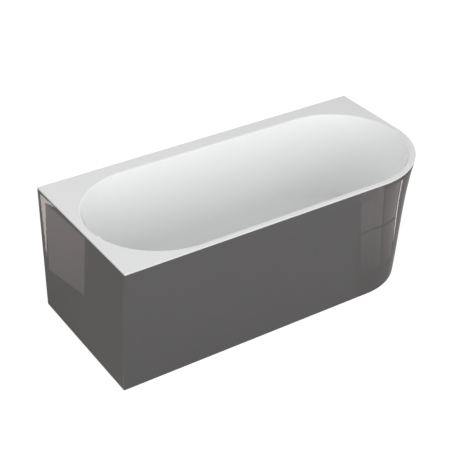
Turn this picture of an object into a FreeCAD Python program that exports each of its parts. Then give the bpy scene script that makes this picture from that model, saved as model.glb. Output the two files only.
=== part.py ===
# Left-hand corner bath: acrylic shell and apron on a steel cradle with adjustable feet,
# pop-up waste, overflow and trap. Millimetres, +Z up, +Y to the back wall,
# +X to the rounded end, origin on the floor under the middle of the bath.
import FreeCAD, Part
import os
import re
import Sketcher
from FreeCAD import Placement, Rotation, Vector

doc = FreeCAD.newDocument("corner_bathtub")
sheet = doc.addObject("Spreadsheet::Sheet", "sizes")

SIZES = {
    # shell
    "bath_length": 1600,
    "bath_width": 750,
    "bath_height": 600,
    "corner_radius": 362,
    "deck_thickness": 6,
    "deck_edge_radius": 2,
    "rim_front": 27,
    "rim_back": 78,
    "rim_left": 32,
    "lip_radius": 9,
    "basin_depth": 430,
    "wall_inset": 62,
    "lean_left": 90,
    "lean_right": 90,
    "floor_radius": 90,
    "wall": 5,
    "bond_line": 0.2,
    "skin": 4,
    # apron
    "apron_wall": 4,
    "apron_clearance": 4,
    "apron_taper": 54,
    "bend_height": 395,
    "bend_inset": 27,
    "shin_height": 190,
    "shin_inset": 41,
    # board and timber
    "board_thickness": 15,
    "board_margin": 5,
    "board_waste_gap": 95,
    "board_screw_inset": 60,
    "batten_width": 50,
    "batten_depth": 25,
    "batten_back_gap": 8,
    "batten_end_gap": 60,
    "block_depth": 18,
    "block_gap": 5,
    # cradle
    "tube_side": 25,
    "tube_wall": 2,
    "tube_radius": 2.5,
    "rail_spread": 270,
    "rail_overhang": 30,
    "cross_left_gap": 210,
    "cross_corner_gap": 3,
    "cross_front_gap": 105,
    "cross_back_gap": 35,
    "cap_head": 3,
    "cap_plug": 12,
    "cap_gap": 0.2,
    "cap_wall": 1.5,
    "plate_length": 70,
    "plate_width": 40,
    "plate_thickness": 3,
    # fixings
    "screw_head_radius": 4.5,
    "screw_head": 2.4,
    "screw_radius": 2.2,
    "screw_gap": 0.2,
    "screw_bite": 12,
    "clip_length": 40,
    "clip_width": 16,
    "clip_depth": 22,
    "clip_leg": 12,
    "clip_wall": 3,
    "bracket_width": 40,
    "bracket_drop": 34,
    "bracket_thickness": 3,
    "bracket_bend": 3,
    # feet
    "foot_inset": 40,
    "stud_radius": 6,
    "stud_gap": 0.3,
    "stud_top": 20,
    "pad_radius": 27,
    "pad_depth": 16,
    "pad_sole": 6,
    "pad_edge": 4,
    "pad_neck": 12,
    "nut_width": 18,
    "nut_depth": 9,
    # waste and plug
    "waste_hole": 26,
    "flange_radius": 35,
    "flange_depth": 3,
    "seal_depth": 2,
    "collar_radius": 24.5,
    "collar_wall": 2.5,
    "collar_depth": 26,
    "bridge_width": 6,
    "bridge_depth": 4,
    "bridge_level": 14,
    "hub_radius": 8,
    "waste_radius": 36,
    "waste_lip": 4,
    "waste_wall": 3,
    "waste_depth": 40,
    "tail_length": 22,
    "plug_radius": 31,
    "plug_crown": 5,
    "plug_edge": 1.5,
    "plug_gap": 0.3,
    "stem_radius": 4,
    "stem_length": 30,
    "running_fit": 0.05,
    "edge_break": 1,
    # overflow
    "overflow_drop": 85,
    "overflow_hole": 26,
    "overflow_collar": 25,
    "trim_radius": 36,
    "trim_depth": 7,
    "knob_radius": 27,
    "knob_depth": 16,
    "knob_gap": 3,
    "knob_bevel": 3,
    "grip_radius": 5,
    "spindle_radius": 5,
    "gasket_depth": 3,
    "overflow_radius": 34,
    "pipe_radius": 14,
    "pipe_wall": 2,
    "socket_gap": 0.3,
    "socket_wall": 2,
    "socket_length": 24,
    "nut_wall": 2.5,
    "nut_grip": 12,
    "groove_radius": 2.5,
    "groove_depth": 1,
    "cable_radius": 2.5,
    # trap
    "trap_radius": 20,
    "trap_wall": 2,
    "trap_bend_radius": 28,
    "trap_drop": 28,
    "trap_rise": 2,
    "trap_run": 20,
    "trap_nut_radius": 29,
    "trap_nut_depth": 16,
    "outlet_gap": 30,
    "outlet_bead": 3,
}
KNOB_GRIP_COUNT = 10
PIPE_GROOVE_COUNT = 12
TRAP_GROOVE_COUNT = 16

for row, (alias, number) in enumerate(SIZES.items(), start=1):
    sheet.set(f"A{row}", alias.replace("_", " "))
    sheet.set(f"B{row}", str(number))
    sheet.setAlias(f"B{row}", alias)
doc.recompute()


def bind(formula):
    """A formula in plain size names, with each name pointed at its cell."""
    return re.sub(r"[a-z_]+", lambda word: ("sizes." if word[0] in SIZES else "") + word[0], str(formula))


def value(formula):
    """The number that a formula gives now."""
    answer = sheet.evalExpression(bind(formula))
    return float(getattr(answer, "Value", answer))


def origin_plane(piece, role):
    return next(plane for plane in piece.Origin.OriginFeatures if plane.Role == role)


def lock(drawing, index, corner, place, axes="xy"):
    """Holds one point of a drawing at its formulas, measured from the drawing's origin."""
    for axis, formula in zip("xy", place):
        if axis not in axes:
            continue
        kind = "DistanceX" if axis == "x" else "DistanceY"
        number = drawing.addConstraint(Sketcher.Constraint(kind, -1, 1, index, corner, value(formula)))
        drawing.setExpression(f"Constraints[{number}]", bind(formula))


def draw_path(drawing, start, steps, closed=True):
    """Draws lines and arcs end to end. A step is (end) for a line or (end, centre, turn) for an arc,
    with turn +1 anticlockwise. The last step of a closed path is a line back to the start."""
    here = start
    opening = None
    previous = None
    for step, (end, *arc) in enumerate(steps):
        tail = Vector(value(here[0]), value(here[1]), 0)
        head = Vector(value(end[0]), value(end[1]), 0)
        backwards = bool(arc) and arc[1] < 0
        first_point = 1 + int(backwards)
        last_point = 2 - int(backwards)
        if arc:
            centre = arc[0]
            middle = Vector(value(centre[0]), value(centre[1]), 0)
            spokes = [tail - middle, head - middle]
            angles = [Vector(1, 0, 0).getAngle(spoke) * (1 if spoke.y >= 0 else -1) for spoke in spokes]
            if backwards:
                angles.reverse()
            circle = Part.Circle(middle, Vector(0, 0, 1), spokes[0].Length)
            index = drawing.addGeometry(Part.ArcOfCircle(circle, *angles))
            lock(drawing, index, 3, centre)
        else:
            index = drawing.addGeometry(Part.LineSegment(tail, head))
        if previous is None:
            opening = (index, first_point)
            lock(drawing, index, first_point, start)
        else:
            drawing.addConstraint(Sketcher.Constraint("Coincident", *previous, index, first_point))
        previous = (index, last_point)
        here = end
        if arc:
            lock(drawing, *previous, end, "x" if abs(spokes[1].y) > abs(spokes[1].x) else "y")
        elif closed and step == len(steps) - 1:
            drawing.addConstraint(Sketcher.Constraint("Coincident", *previous, *opening))
        else:
            lock(drawing, *previous, end)


def draw_circle(drawing, centre, radius):
    index = drawing.addGeometry(Part.Circle(
        Vector(value(centre[0]), value(centre[1]), 0), Vector(0, 0, 1), value(radius)))
    lock(drawing, index, 3, centre)
    number = drawing.addConstraint(Sketcher.Constraint("Radius", index, value(radius)))
    drawing.setExpression(f"Constraints[{number}]", bind(radius))


def lean(holder, path, angle, axis=Vector(0, 1, 0)):
    """Turns an object by a formula, about the Y axis unless another is given."""
    setattr(holder, path, Placement(Vector(), Rotation(axis, value(angle))))
    holder.setExpression(f"{path}.Rotation.Angle", bind(angle))


def new_body(label, place=("0", "0", "0"), angle=None, axis=Vector(0, 1, 0)):
    piece = doc.addObject("PartDesign::Body", label)
    piece.Label = label
    if angle:
        lean(piece, "Placement", angle, axis)
    for axis, formula in zip("xyz", place):
        piece.setExpression(f"Placement.Base.{axis}", bind(formula))
    return piece


def new_sketch(piece, name, role="XY_Plane", offset="0"):
    drawing = piece.newObject("Sketcher::SketchObject", name)
    drawing.AttachmentSupport = [(origin_plane(piece, role), "")]
    drawing.MapMode = "FlatFace"
    drawing.setExpression("AttachmentOffset.Base.z", bind(offset))
    return drawing


def pad(piece, drawing, length, kind="Pad", reverse=False, midplane=False):
    feature = piece.newObject(f"PartDesign::{kind}", f"{drawing.Name}_{kind.lower()}")
    feature.Profile = drawing
    feature.Reversed = reverse
    feature.Midplane = midplane
    feature.setExpression("Length", bind(length))
    return feature


def loft(piece, name, drawings, kind="AdditiveLoft", ruled=True):
    feature = piece.newObject(f"PartDesign::{kind}", name)
    feature.Profile = drawings[0]
    feature.Sections = drawings[1:]
    feature.Ruled = ruled
    return feature


def fillet(piece, name, base, edges, radius):
    feature = piece.newObject("PartDesign::Fillet", name)
    feature.Base = (base, edges)
    feature.setExpression("Radius", bind(radius))
    return feature


def edges_at_height(feature, height, inside=True):
    """Names of the edges that lie wholly at one height, clear of the deck's outer edge or along it."""
    level = value(height)
    same = value("bond_line/10")
    half_length = value("bath_length/2 - rim_left/2")
    half_width = value("bath_width/2 - rim_front/2")
    names = []
    for number, edge in enumerate(feature.Shape.Edges, start=1):
        box = edge.BoundBox
        flat = max(abs(box.ZMin - level), abs(box.ZMax - level)) < same
        clear = max(-box.XMin, box.XMax) < half_length and max(-box.YMin, box.YMax) < half_width
        if flat and clear == inside:
            names.append(f"Edge{number}")
    return names


def turned(label, outline, place=("0", "0", "0"), angle=None, axis=Vector(0, 1, 0)):
    """A piece turned on its own Z axis from an outline of (radius, height) points, where an arc is
    given as (end, centre, turn)."""
    piece = new_body(label, place, angle, axis)
    drawing = new_sketch(piece, f"{label}_outline", "XZ_Plane")
    steps = [step if isinstance(step[0], tuple) else (step,) for step in outline[1:] + outline[:1]]
    draw_path(drawing, outline[0], steps)
    feature = piece.newObject("PartDesign::Revolution", f"{label}_turning")
    feature.Profile = drawing
    feature.ReferenceAxis = (drawing, ["V_Axis"])
    feature.Angle = 360
    return piece


def dome(reach, rise):
    """The radius of a dome that falls by a rise at a reach from its axis."""
    return f"((({reach})^2 + ({rise})^2)/(2*({rise})))"


def scallop(piece, name, start, length, reach, radius, count):
    """A ring of round grooves along the edge of a turned piece."""
    drawing = new_sketch(piece, name, offset=start)
    draw_circle(drawing, (reach, "0"), radius)
    groove = pad(piece, drawing, length, "Pocket", reverse=True)
    doc.recompute()
    ring = piece.newObject("PartDesign::PolarPattern", f"{name}_ring")
    ring.Originals = [groove]
    ring.Axis = (drawing, ["N_Axis"])
    ring.Angle = 360
    ring.Occurrences = count
    piece.Tip = ring


def rounded_rectangle(drawing, width, height, radius, centre=("0", "0")):
    """Four lines and four corner arcs about a centre."""
    left, right = f"({centre[0]} - ({width})/2)", f"({centre[0]} + ({width})/2)"
    low, high = f"({centre[1]} - ({height})/2)", f"({centre[1]} + ({height})/2)"
    near, far = (f"{left} + ({radius})", f"{right} - ({radius})")
    down, rise = (f"{low} + ({radius})", f"{high} - ({radius})")
    draw_path(drawing, (left, down), [
        ((near, low), (near, down), 1), ((far, low),),
        ((right, down), (far, down), 1), ((right, rise),),
        ((far, high), (far, rise), 1), ((near, high),),
        ((left, rise), (near, rise), 1), ((left, down),)])


def drill(piece, name, spots, radius, middle, length):
    """Upright round holes at (x, y) spots, half their length above and half below a level."""
    drawing = new_sketch(piece, name, offset=middle)
    for spot in spots:
        draw_circle(drawing, spot, radius)
    pad(piece, drawing, length, "Pocket", midplane=True)


# Levels and centres that several pieces share
DECK_UNDER = "(bath_height - deck_thickness)"
FLOOR_TOP = "(bath_height - basin_depth)"
SKIN_OUT = "(wall + bond_line + skin)"
SKIN_UNDER = f"({FLOOR_TOP} - {SKIN_OUT})"
END_RADIUS = "((bath_width - rim_front - rim_back)/2)"
LEFT_X = f"(-bath_length/2 + rim_left + {END_RADIUS})"
LEFT_Y = "((rim_front - rim_back)/2)"
CORNER_X = "(bath_length/2 - corner_radius)"
CORNER_Y = "(corner_radius - bath_width/2)"


def basin_section(piece, name, depth, out):
    """The basin's outline at a depth below the deck, grown outwards by the wall that lies round it:
    a half circle at the left end, straight sides, and two tangent quarter arcs at the right end."""
    share = f"({depth})/basin_depth"
    inset = f"(wall_inset*{share} - ({out}))"
    left_x = f"({LEFT_X} + lean_left*{share})"
    left_radius = f"({END_RADIUS} - {inset})"
    front_y = f"(rim_front - bath_width/2 + {inset})"
    back_y = f"(bath_width/2 - rim_back - {inset})"
    right_x = f"({CORNER_X} - lean_right*{share})"
    front_radius = f"(corner_radius - rim_front - {inset})"
    back_x = f"({right_x} + {front_radius} - ({back_y} - {CORNER_Y}))"
    drawing = new_sketch(piece, name, offset=f"bath_height - ({depth})")
    draw_path(drawing, (left_x, back_y), [
        ((f"{left_x} - {left_radius}", LEFT_Y), (left_x, LEFT_Y), 1),
        ((left_x, front_y), (left_x, LEFT_Y), 1),
        ((right_x, front_y),),
        ((f"{right_x} + {front_radius}", CORNER_Y), (right_x, CORNER_Y), 1),
        ((back_x, back_y), (back_x, CORNER_Y), 1),
        ((left_x, back_y),)])
    return drawing


def basin_solid(piece, name, top, bottom, out, heel):
    """A basin-shaped solid between two depths, with the edge of its floor rounded."""
    drawings = [basin_section(piece, f"{name}_rim", top, out),
                basin_section(piece, f"{name}_floor", bottom, out)]
    feature = loft(piece, name, drawings)
    doc.recompute()
    floor_edges = edges_at_height(feature, f"bath_height - ({bottom})")
    fillet(piece, f"{name}_heel", feature, floor_edges, heel)
    doc.recompute()


def subtract(piece, name, tools):
    """Takes other bodies away from a body."""
    feature = piece.newObject("PartDesign::Boolean", name)
    feature.setObjects(tools)
    feature.Type = "Cut"
    doc.recompute()
    return feature


# Where the waste and the overflow sit, and how far the left end of the basin leans
WASTE = (LEFT_X, LEFT_Y)
LEAN = "atan((wall_inset + lean_left)/basin_depth)"
OVERFLOW = (f"(-bath_length/2 + rim_left + overflow_drop*tan({LEAN}))", LEFT_Y,
            "(bath_height - overflow_drop)")
OVERFLOW_ANGLE = f"90 deg - {LEAN}"
HOLE_LENGTH = f"4*{SKIN_OUT}"


def fitting_holes(piece):
    """Round holes for the waste in the floor and for the overflow in the left end."""
    drill(piece, f"{piece.Name}_waste_hole", [WASTE], "waste_hole", FLOOR_TOP, HOLE_LENGTH)
    drawing = new_sketch(piece, f"{piece.Name}_overflow_hole")
    lean(drawing, "AttachmentOffset", OVERFLOW_ANGLE)
    for axis, formula in zip("xyz", OVERFLOW):
        drawing.setExpression(f"AttachmentOffset.Base.{axis}", bind(formula))
    draw_circle(drawing, ("0", "0"), "overflow_hole")
    pad(piece, drawing, HOLE_LENGTH, "Pocket", midplane=True)


# Bath shell: a sheet of white acrylic drawn into a deck and a basin
tub = new_body("tub_shell")
deck = new_sketch(tub, "deck_outline", offset=DECK_UNDER)
draw_path(deck, ("-bath_length/2", "bath_width/2"), [
    (("-bath_length/2", "-bath_width/2"),),
    ((CORNER_X, "-bath_width/2"),),
    (("bath_length/2", CORNER_Y), (CORNER_X, CORNER_Y), 1),
    (("bath_length/2", "bath_width/2"),),
    (("-bath_length/2", "bath_width/2"),)])
slab = pad(tub, deck, "deck_thickness")
doc.recompute()
deck_edges = edges_at_height(slab, "bath_height", inside=False)
fillet(tub, "deck_edge", slab, deck_edges, "deck_edge_radius")
basin_solid(tub, "basin_outside", "0", "basin_depth + wall", "wall", "floor_radius + wall")
cavity = new_body("basin_cavity")
basin_solid(cavity, "basin_inside", "0", "basin_depth", "0", "floor_radius")
hollow = subtract(tub, "basin_hollow", [cavity])
fillet(tub, "lip_round", hollow, edges_at_height(hollow, "bath_height"), "lip_radius")
fitting_holes(tub)
doc.recompute()

# Glass-fibre skin: resin and chopped strand laid on the underside of the basin
fibre = new_body("glass_fibre_skin")
SKIN_IN = "(wall + bond_line)"
basin_solid(fibre, "fibre_outside", "deck_thickness", f"basin_depth + {SKIN_OUT}", SKIN_OUT,
            f"floor_radius + {SKIN_OUT}")
fibre_core = new_body("fibre_core")
basin_solid(fibre_core, "fibre_inside", "deck_thickness", f"basin_depth + {SKIN_IN}", SKIN_IN,
            f"floor_radius + {SKIN_IN}")
subtract(fibre, "fibre_hollow", [fibre_core])
fitting_holes(fibre)
doc.recompute()


def apron_section(piece, name, height, inset):
    """The apron's plan at one height: upright left end, front, round corner and right end,
    drawn in by an inset on the sides that taper."""
    front = f"(({inset}) - bath_width/2)"
    radius = f"(corner_radius - ({inset}))"
    right = f"({CORNER_X} + {radius})"
    left = "(-bath_length/2)"
    back = "(bath_width/2)"
    drawing = new_sketch(piece, name, offset=height)
    draw_path(drawing, (left, back), [
        ((left, front),),
        ((CORNER_X, front),),
        ((right, CORNER_Y), (CORNER_X, CORNER_Y), 1),
        ((right, back),),
        ((f"{right} - apron_wall", back),),
        ((f"{right} - apron_wall", CORNER_Y),),
        ((CORNER_X, f"{front} + apron_wall"), (CORNER_X, CORNER_Y), -1),
        ((f"{left} + apron_wall", f"{front} + apron_wall"),),
        ((f"{left} + apron_wall", back),),
        ((left, back),)])
    return drawing


def apron_inside(piece, name, height, inset):
    """The plan of the space behind the apron at one height, a bond line clear of the panel."""
    depth = f"(({inset}) + apron_wall + bond_line)"
    front = f"({depth} - bath_width/2)"
    right = f"(bath_length/2 - {depth})"
    left = "(apron_wall + bond_line - bath_length/2)"
    back = "(bath_width/2)"
    drawing = new_sketch(piece, name, offset=height)
    draw_path(drawing, (left, back), [
        ((left, front),),
        ((CORNER_X, front),),
        ((right, CORNER_Y), (CORNER_X, CORNER_Y), 1),
        ((right, back),),
        ((left, back),)])
    return drawing


# Apron: one graphite acrylic panel bent round three sides, drawn in towards the floor
APRON_LEVELS = {
    "toe": ("apron_clearance", "apron_taper"),
    "shin": ("shin_height", "shin_inset"),
    "bend": ("bend_height", "bend_inset"),
    "top": (DECK_UNDER, "0")}
apron = new_body("apron")
loft(apron, "apron_sweep", [apron_section(apron, f"apron_{name}", *level)
                            for name, level in APRON_LEVELS.items()], ruled=False)
apron_core = new_body("apron_core")
loft(apron_core, "apron_core_sweep", [apron_inside(apron_core, f"apron_core_{name}", *level)
                                      for name, level in APRON_LEVELS.items()], ruled=False)
doc.recompute()

# Levels of the board and the cradle under the floor
BOARD_UNDER = f"({SKIN_UNDER} - board_thickness)"
RAIL_UNDER = f"({BOARD_UNDER} - tube_side)"
CROSS_UNDER = f"({RAIL_UNDER} - tube_side)"
CROSS_X = {
    "left": "(cross_left_gap - bath_length/2)",
    "right": f"({CORNER_X} - bracket_width/2 - cross_corner_gap)"}
CROSS_X["middle"] = f"(({CROSS_X['left']} + {CROSS_X['right']})/2)"
CROSS_FRONT = "(cross_front_gap - bath_width/2)"
CROSS_BACK = "(bath_width/2 - cross_back_gap)"
RAIL_Y = {"front": f"({LEFT_Y} - rail_spread/2)", "back": f"({LEFT_Y} + rail_spread/2)"}
RAIL_ENDS = (f"({CROSS_X['left']} - rail_overhang)", f"({CROSS_X['right']} + rail_overhang)")
POST_Y = f"({CROSS_BACK} - tube_side/2)"
BATTEN_UNDER = f"({DECK_UNDER} - batten_depth)"
SCREW_HOLE = "screw_radius + screw_gap"

# Spots of the screws that hold the board to the rails, and the posts to the batten
BOARD_ENDS = (f"({WASTE[0]} + board_waste_gap)", f"({CROSS_X['right']} + tube_side/2)")
BOARD_X = f"(({BOARD_ENDS[0]}) + ({BOARD_ENDS[1]}))/2"
BOARD_SCREW_X = [f"({BOARD_ENDS[0]} + board_screw_inset)", f"({BOARD_ENDS[1]} - board_screw_inset)"]
PLATE_SCREW_X = ("-(plate_length + tube_side)/4", "(plate_length + tube_side)/4")
PLATE_SCREWS = [(f"({x} + {across})", POST_Y) for x in CROSS_X.values() for across in PLATE_SCREW_X]

# Base board: moisture-proof board laminated under the floor
board = new_body("base_board", (BOARD_X, LEFT_Y, BOARD_UNDER))
board_plan = new_sketch(board, "board_plan")
rounded_rectangle(board_plan, f"{BOARD_ENDS[1]} - {BOARD_ENDS[0]}",
                  "rail_spread + tube_side + 2*board_margin", "board_thickness")
pad(board, board_plan, "board_thickness")
drill(board, "board_pilots", [(f"{x} - {BOARD_X}", f"{side}*rail_spread/2")
                              for x in BOARD_SCREW_X for side in (-1, 1)],
      SCREW_HOLE, "0", "2*screw_bite")

# Timber batten under the back rim, and timber blocks under the wide corners of the deck
BATTEN_Y = "(bath_width/2 - batten_back_gap - batten_width/2)"
batten = new_body("rim_batten_back", ("0", BATTEN_Y, BATTEN_UNDER))
batten_plan = new_sketch(batten, "batten_plan")
rounded_rectangle(batten_plan, "bath_length - 2*batten_end_gap", "batten_width", "tube_radius")
pad(batten, batten_plan, "batten_depth")
drill(batten, "batten_pilots", [(x, f"{y} - {BATTEN_Y}") for x, y in PLATE_SCREWS],
      SCREW_HOLE, "0", "2*screw_bite")

BLOCK_BACK = f"({BATTEN_Y} - batten_width/2 - block_gap)"
BLOCK_LEFT = "(-bath_length/2 + apron_wall + block_gap)"
BLOCK_RIGHT = "(bath_length/2 - apron_wall - 2*block_gap)"
BLOCK_FRONT = "(-bath_width/2 + apron_wall + 2*block_gap)"
BACK_ARC_RADIUS = f"(bath_width/2 - rim_back - {CORNER_Y})"
BACK_ARC_X = f"(bath_length/2 - rim_front - {BACK_ARC_RADIUS})"
BLOCKS = {
    "corner_block_back_left": (BLOCK_LEFT, BLOCK_BACK, LEFT_X, LEFT_Y, END_RADIUS, 1, -1),
    "corner_block_front_left": (BLOCK_LEFT, BLOCK_FRONT, LEFT_X, LEFT_Y, END_RADIUS, 1, 1),
    "corner_block_back_right": (BLOCK_RIGHT, BLOCK_BACK, BACK_ARC_X, CORNER_Y, BACK_ARC_RADIUS, -1, -1)}
for label, (x, y, round_x, round_y, radius, side_x, side_y) in BLOCKS.items():
    # the long side of the triangle clears the round end of the basin
    reach = f"(({side_x})*({round_x} - {x}) + ({side_y})*({round_y} - {y}))"
    leg = f"({reach} - sqrt(2)*({radius} + {SKIN_OUT} + block_gap))"
    block = new_body(label, (x, y, f"{DECK_UNDER} - block_depth"))
    plan = new_sketch(block, f"{label}_plan")
    draw_path(plan, ("0", "0"), [((f"({side_x})*{leg}", "0"),), (("0", f"({side_y})*{leg}"),), (("0", "0"),)])
    pad(block, plan, "block_depth")


TUBE_BORE = "(tube_side - 2*tube_wall)"


def box_tube(label, role, place, start, length):
    """A square steel tube along the normal of one of its planes."""
    piece = new_body(label, place)
    drawing = new_sketch(piece, f"{label}_section", role, start)
    rounded_rectangle(drawing, "tube_side", "tube_side", "tube_radius")
    rounded_rectangle(drawing, TUBE_BORE, TUBE_BORE, "tube_radius - tube_wall")
    pad(piece, drawing, length)
    return piece


# Cradle: two rails along the bath, three cross members under them, three posts to the back rim
RAIL_MIDDLE = f"({RAIL_UNDER} + tube_side/2)"
CROSS_MIDDLE = f"({CROSS_UNDER} + tube_side/2)"
for side, y in RAIL_Y.items():
    rail = box_tube(f"frame_rail_{side}", "YZ_Plane", ("0", y, RAIL_MIDDLE),
                    RAIL_ENDS[0], f"{RAIL_ENDS[1]} - {RAIL_ENDS[0]}")
    drill(rail, f"rail_{side}_holes", [(x, "0") for x in BOARD_SCREW_X], SCREW_HOLE, "0", "2*tube_side")

FOOT_Y = {"front": f"({CROSS_FRONT} + foot_inset)", "back": f"({CROSS_BACK} - foot_inset)"}
FEET = {f"{side}_{name}": (CROSS_X[name], y) for name in ("left", "right") for side, y in FOOT_Y.items()}
FEET["middle"] = (CROSS_X["middle"], LEFT_Y)
BRACKET_SEAT = "(cap_plug + 2*screw_head_radius + bracket_thickness)"
BRACKET_SCREW_Y = f"({CROSS_FRONT} + {BRACKET_SEAT} - screw_head_radius - edge_break)"
BRACKET_SCREW_X = ("-tube_side/4", "tube_side/4")
for name, x in CROSS_X.items():
    cross = box_tube(f"cross_member_{name}", "XZ_Plane", (x, "0", CROSS_MIDDLE),
                     f"-{CROSS_BACK}", f"{CROSS_BACK} - {CROSS_FRONT}")
    studs = [("0", y) for foot_x, y in FEET.values() if foot_x == x]
    drill(cross, f"cross_{name}_stud_holes", studs, "stud_radius + stud_gap", "0", "2*tube_side")
    screws = [(across, BRACKET_SCREW_Y) for across in BRACKET_SCREW_X]
    drill(cross, f"cross_{name}_screw_holes", screws, SCREW_HOLE, "tube_side/2", "2*screw_bite")
    post = box_tube(f"rim_post_{name}", "XY_Plane", (x, POST_Y, "0"), RAIL_UNDER,
                    f"{BATTEN_UNDER} - plate_thickness - {RAIL_UNDER}")
    plate = new_body(f"post_plate_{name}", (x, POST_Y, f"{BATTEN_UNDER} - plate_thickness"))
    plate_plan = new_sketch(plate, f"post_plate_{name}_plan")
    rounded_rectangle(plate_plan, "plate_length", "plate_width", "tube_radius")
    pad(plate, plate_plan, "plate_thickness")
    screws = [(across, "0") for across in PLATE_SCREW_X]
    drill(plate, f"post_plate_{name}_holes", screws, SCREW_HOLE, "0", "4*plate_thickness")


def copies(label, master, spots):
    """Identical separate solids: a master piece set at (x, y, z, turn) spots."""
    links = []
    for number, (*place, turn) in enumerate(spots, start=1):
        link = doc.addObject("App::Link", f"{label}_{number}")
        link.LinkedObject = master
        link.Placement = Placement(Vector(), turn)
        for axis, formula in zip("xyz", place):
            link.setExpression(f"Placement.Base.{axis}", bind(formula))
        links.append(link)
    piece = doc.addObject("Part::Compound", label)
    piece.Label = label
    piece.Links = links
    return piece


def screw(label, length):
    """A pan-head screw that points up from its seat, with a pointed end."""
    return turned(label, [
        ("0", "-screw_head"), ("screw_head_radius - screw_head/2", "-screw_head"),
        (("screw_head_radius", "-screw_head/2"), ("screw_head_radius - screw_head/2", "-screw_head/2"), 1),
        ("screw_head_radius", "0"), ("screw_radius", "0"), ("screw_radius", f"{length} - screw_radius"),
        ("0", length)])


# Screws: board to rails, post plates to batten, and toe brackets to cross members
UPRIGHT = Rotation()
TURNED_OVER = Rotation(Vector(1, 0, 0), 180)
board_screw = screw("board_screw", "tube_side + screw_bite - 2*screw_gap")
copies("board_screws", board_screw, [
    (x, y, RAIL_UNDER, UPRIGHT) for x in BOARD_SCREW_X for y in RAIL_Y.values()])
plate_screw = screw("plate_screw", "plate_thickness + screw_bite - 2*screw_gap")
copies("post_screws", plate_screw, [
    (x, y, f"{BATTEN_UNDER} - plate_thickness", UPRIGHT) for x, y in PLATE_SCREWS])
bracket_screw = screw("bracket_screw", "bracket_thickness + screw_bite - 2*screw_gap")
copies("bracket_screws", bracket_screw, [
    (f"{x} + {across}", BRACKET_SCREW_Y, f"{RAIL_UNDER} + bracket_thickness", TURNED_OVER)
    for x in CROSS_X.values() for across in BRACKET_SCREW_X])

# Plastic caps that close the ends of the rails and of the cross members: a head and a hollow plug
CAP_SIDE = f"({TUBE_BORE} - 2*cap_gap)"
cap = new_body("tube_cap")
cap_plan = new_sketch(cap, "cap_head_plan")
rounded_rectangle(cap_plan, "tube_side", "tube_side", "tube_radius")
pad(cap, cap_plan, "cap_head")
plug_plan = new_sketch(cap, "cap_plug_plan")
rounded_rectangle(plug_plan, CAP_SIDE, CAP_SIDE, "edge_break")
rounded_rectangle(plug_plan, f"{CAP_SIDE} - 2*cap_wall", f"{CAP_SIDE} - 2*cap_wall", "edge_break/2")
pad(cap, plug_plan, "cap_plug", reverse=True)

# A cap looks out of its tube's end
LEFTWARDS, RIGHTWARDS, FORWARDS, BACKWARDS = [
    Rotation(Vector(0, 0, 1), Vector(x, y, 0)) for x, y in ((-1, 0), (1, 0), (0, -1), (0, 1))]
rail_caps = [(x, y, RAIL_MIDDLE, way)
             for x, way in zip(RAIL_ENDS, (LEFTWARDS, RIGHTWARDS)) for y in RAIL_Y.values()]
cross_caps = [(x, y, CROSS_MIDDLE, way)
              for x in CROSS_X.values() for y, way in ((CROSS_FRONT, FORWARDS), (CROSS_BACK, BACKWARDS))]
copies("tube_caps", cap, rail_caps + cross_caps)


def behind_apron(label, blanks):
    """The part of some pieces that lies behind the apron, shaped to its inner face."""
    piece = doc.addObject("Part::Common", label)
    piece.Label = label
    piece.Base = blanks
    piece.Tool = apron_core
    return piece


# Clips: moulded angles bonded under the deck, which hold the top of the apron from inside
clip = new_body("apron_clip")
clip_section = new_sketch(clip, "clip_section", "YZ_Plane")
draw_path(clip_section, ("0", "0"), [
    (("0", "-clip_depth"),),
    (("clip_leg", "-clip_depth"),),
    (("clip_leg", "-2*clip_wall"),),
    (("clip_leg + clip_wall", "-clip_wall"), ("clip_leg + clip_wall", "-2*clip_wall"), -1),
    (("clip_width", "-clip_wall"),),
    (("clip_width", "0"),),
    (("0", "0"),)])
pad(clip, clip_section, "clip_length", midplane=True)
FIRST_CLIP_X = f"(({CROSS_X['left']} + {CROSS_X['middle']})/2)"
LAST_CLIP_X = f"({CORNER_X} - clip_length)"
FRONT_CLIP_X = (FIRST_CLIP_X, f"(({FIRST_CLIP_X} + {LAST_CLIP_X})/2)", LAST_CLIP_X)
LEFT_CLIP_Y = (f"({LEFT_Y} - rail_spread/4)", f"({LEFT_Y} + rail_spread/4)")
clip_spots = [(x, "-bath_width/2", DECK_UNDER, UPRIGHT) for x in FRONT_CLIP_X]
clip_spots += [("-bath_length/2", y, DECK_UNDER, Rotation(Vector(0, 0, 1), -90)) for y in LEFT_CLIP_Y]
clip_spots += [("bath_length/2", f"{CORNER_Y} + clip_length", DECK_UNDER, Rotation(Vector(0, 0, 1), 90))]
behind_apron("apron_clips", copies("clip_blanks", clip, clip_spots))

# Toe brackets: steel angles from the cross members to the toe of the apron, leaning with its face
TOE_LEAN = "((apron_taper - shin_inset)/(shin_height - apron_clearance))"
BRACKET_FOOT = "(bracket_thickness - bracket_drop)"


def toe_face(height, behind):
    """A distance behind the apron's outer face, at a height over the cross member, from the member's end."""
    drawn_in = f"(apron_taper - {TOE_LEAN}*({RAIL_UNDER} + ({height}) - apron_clearance))"
    return f"({drawn_in} - bath_width/2 - {CROSS_FRONT} + ({behind}))"


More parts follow.
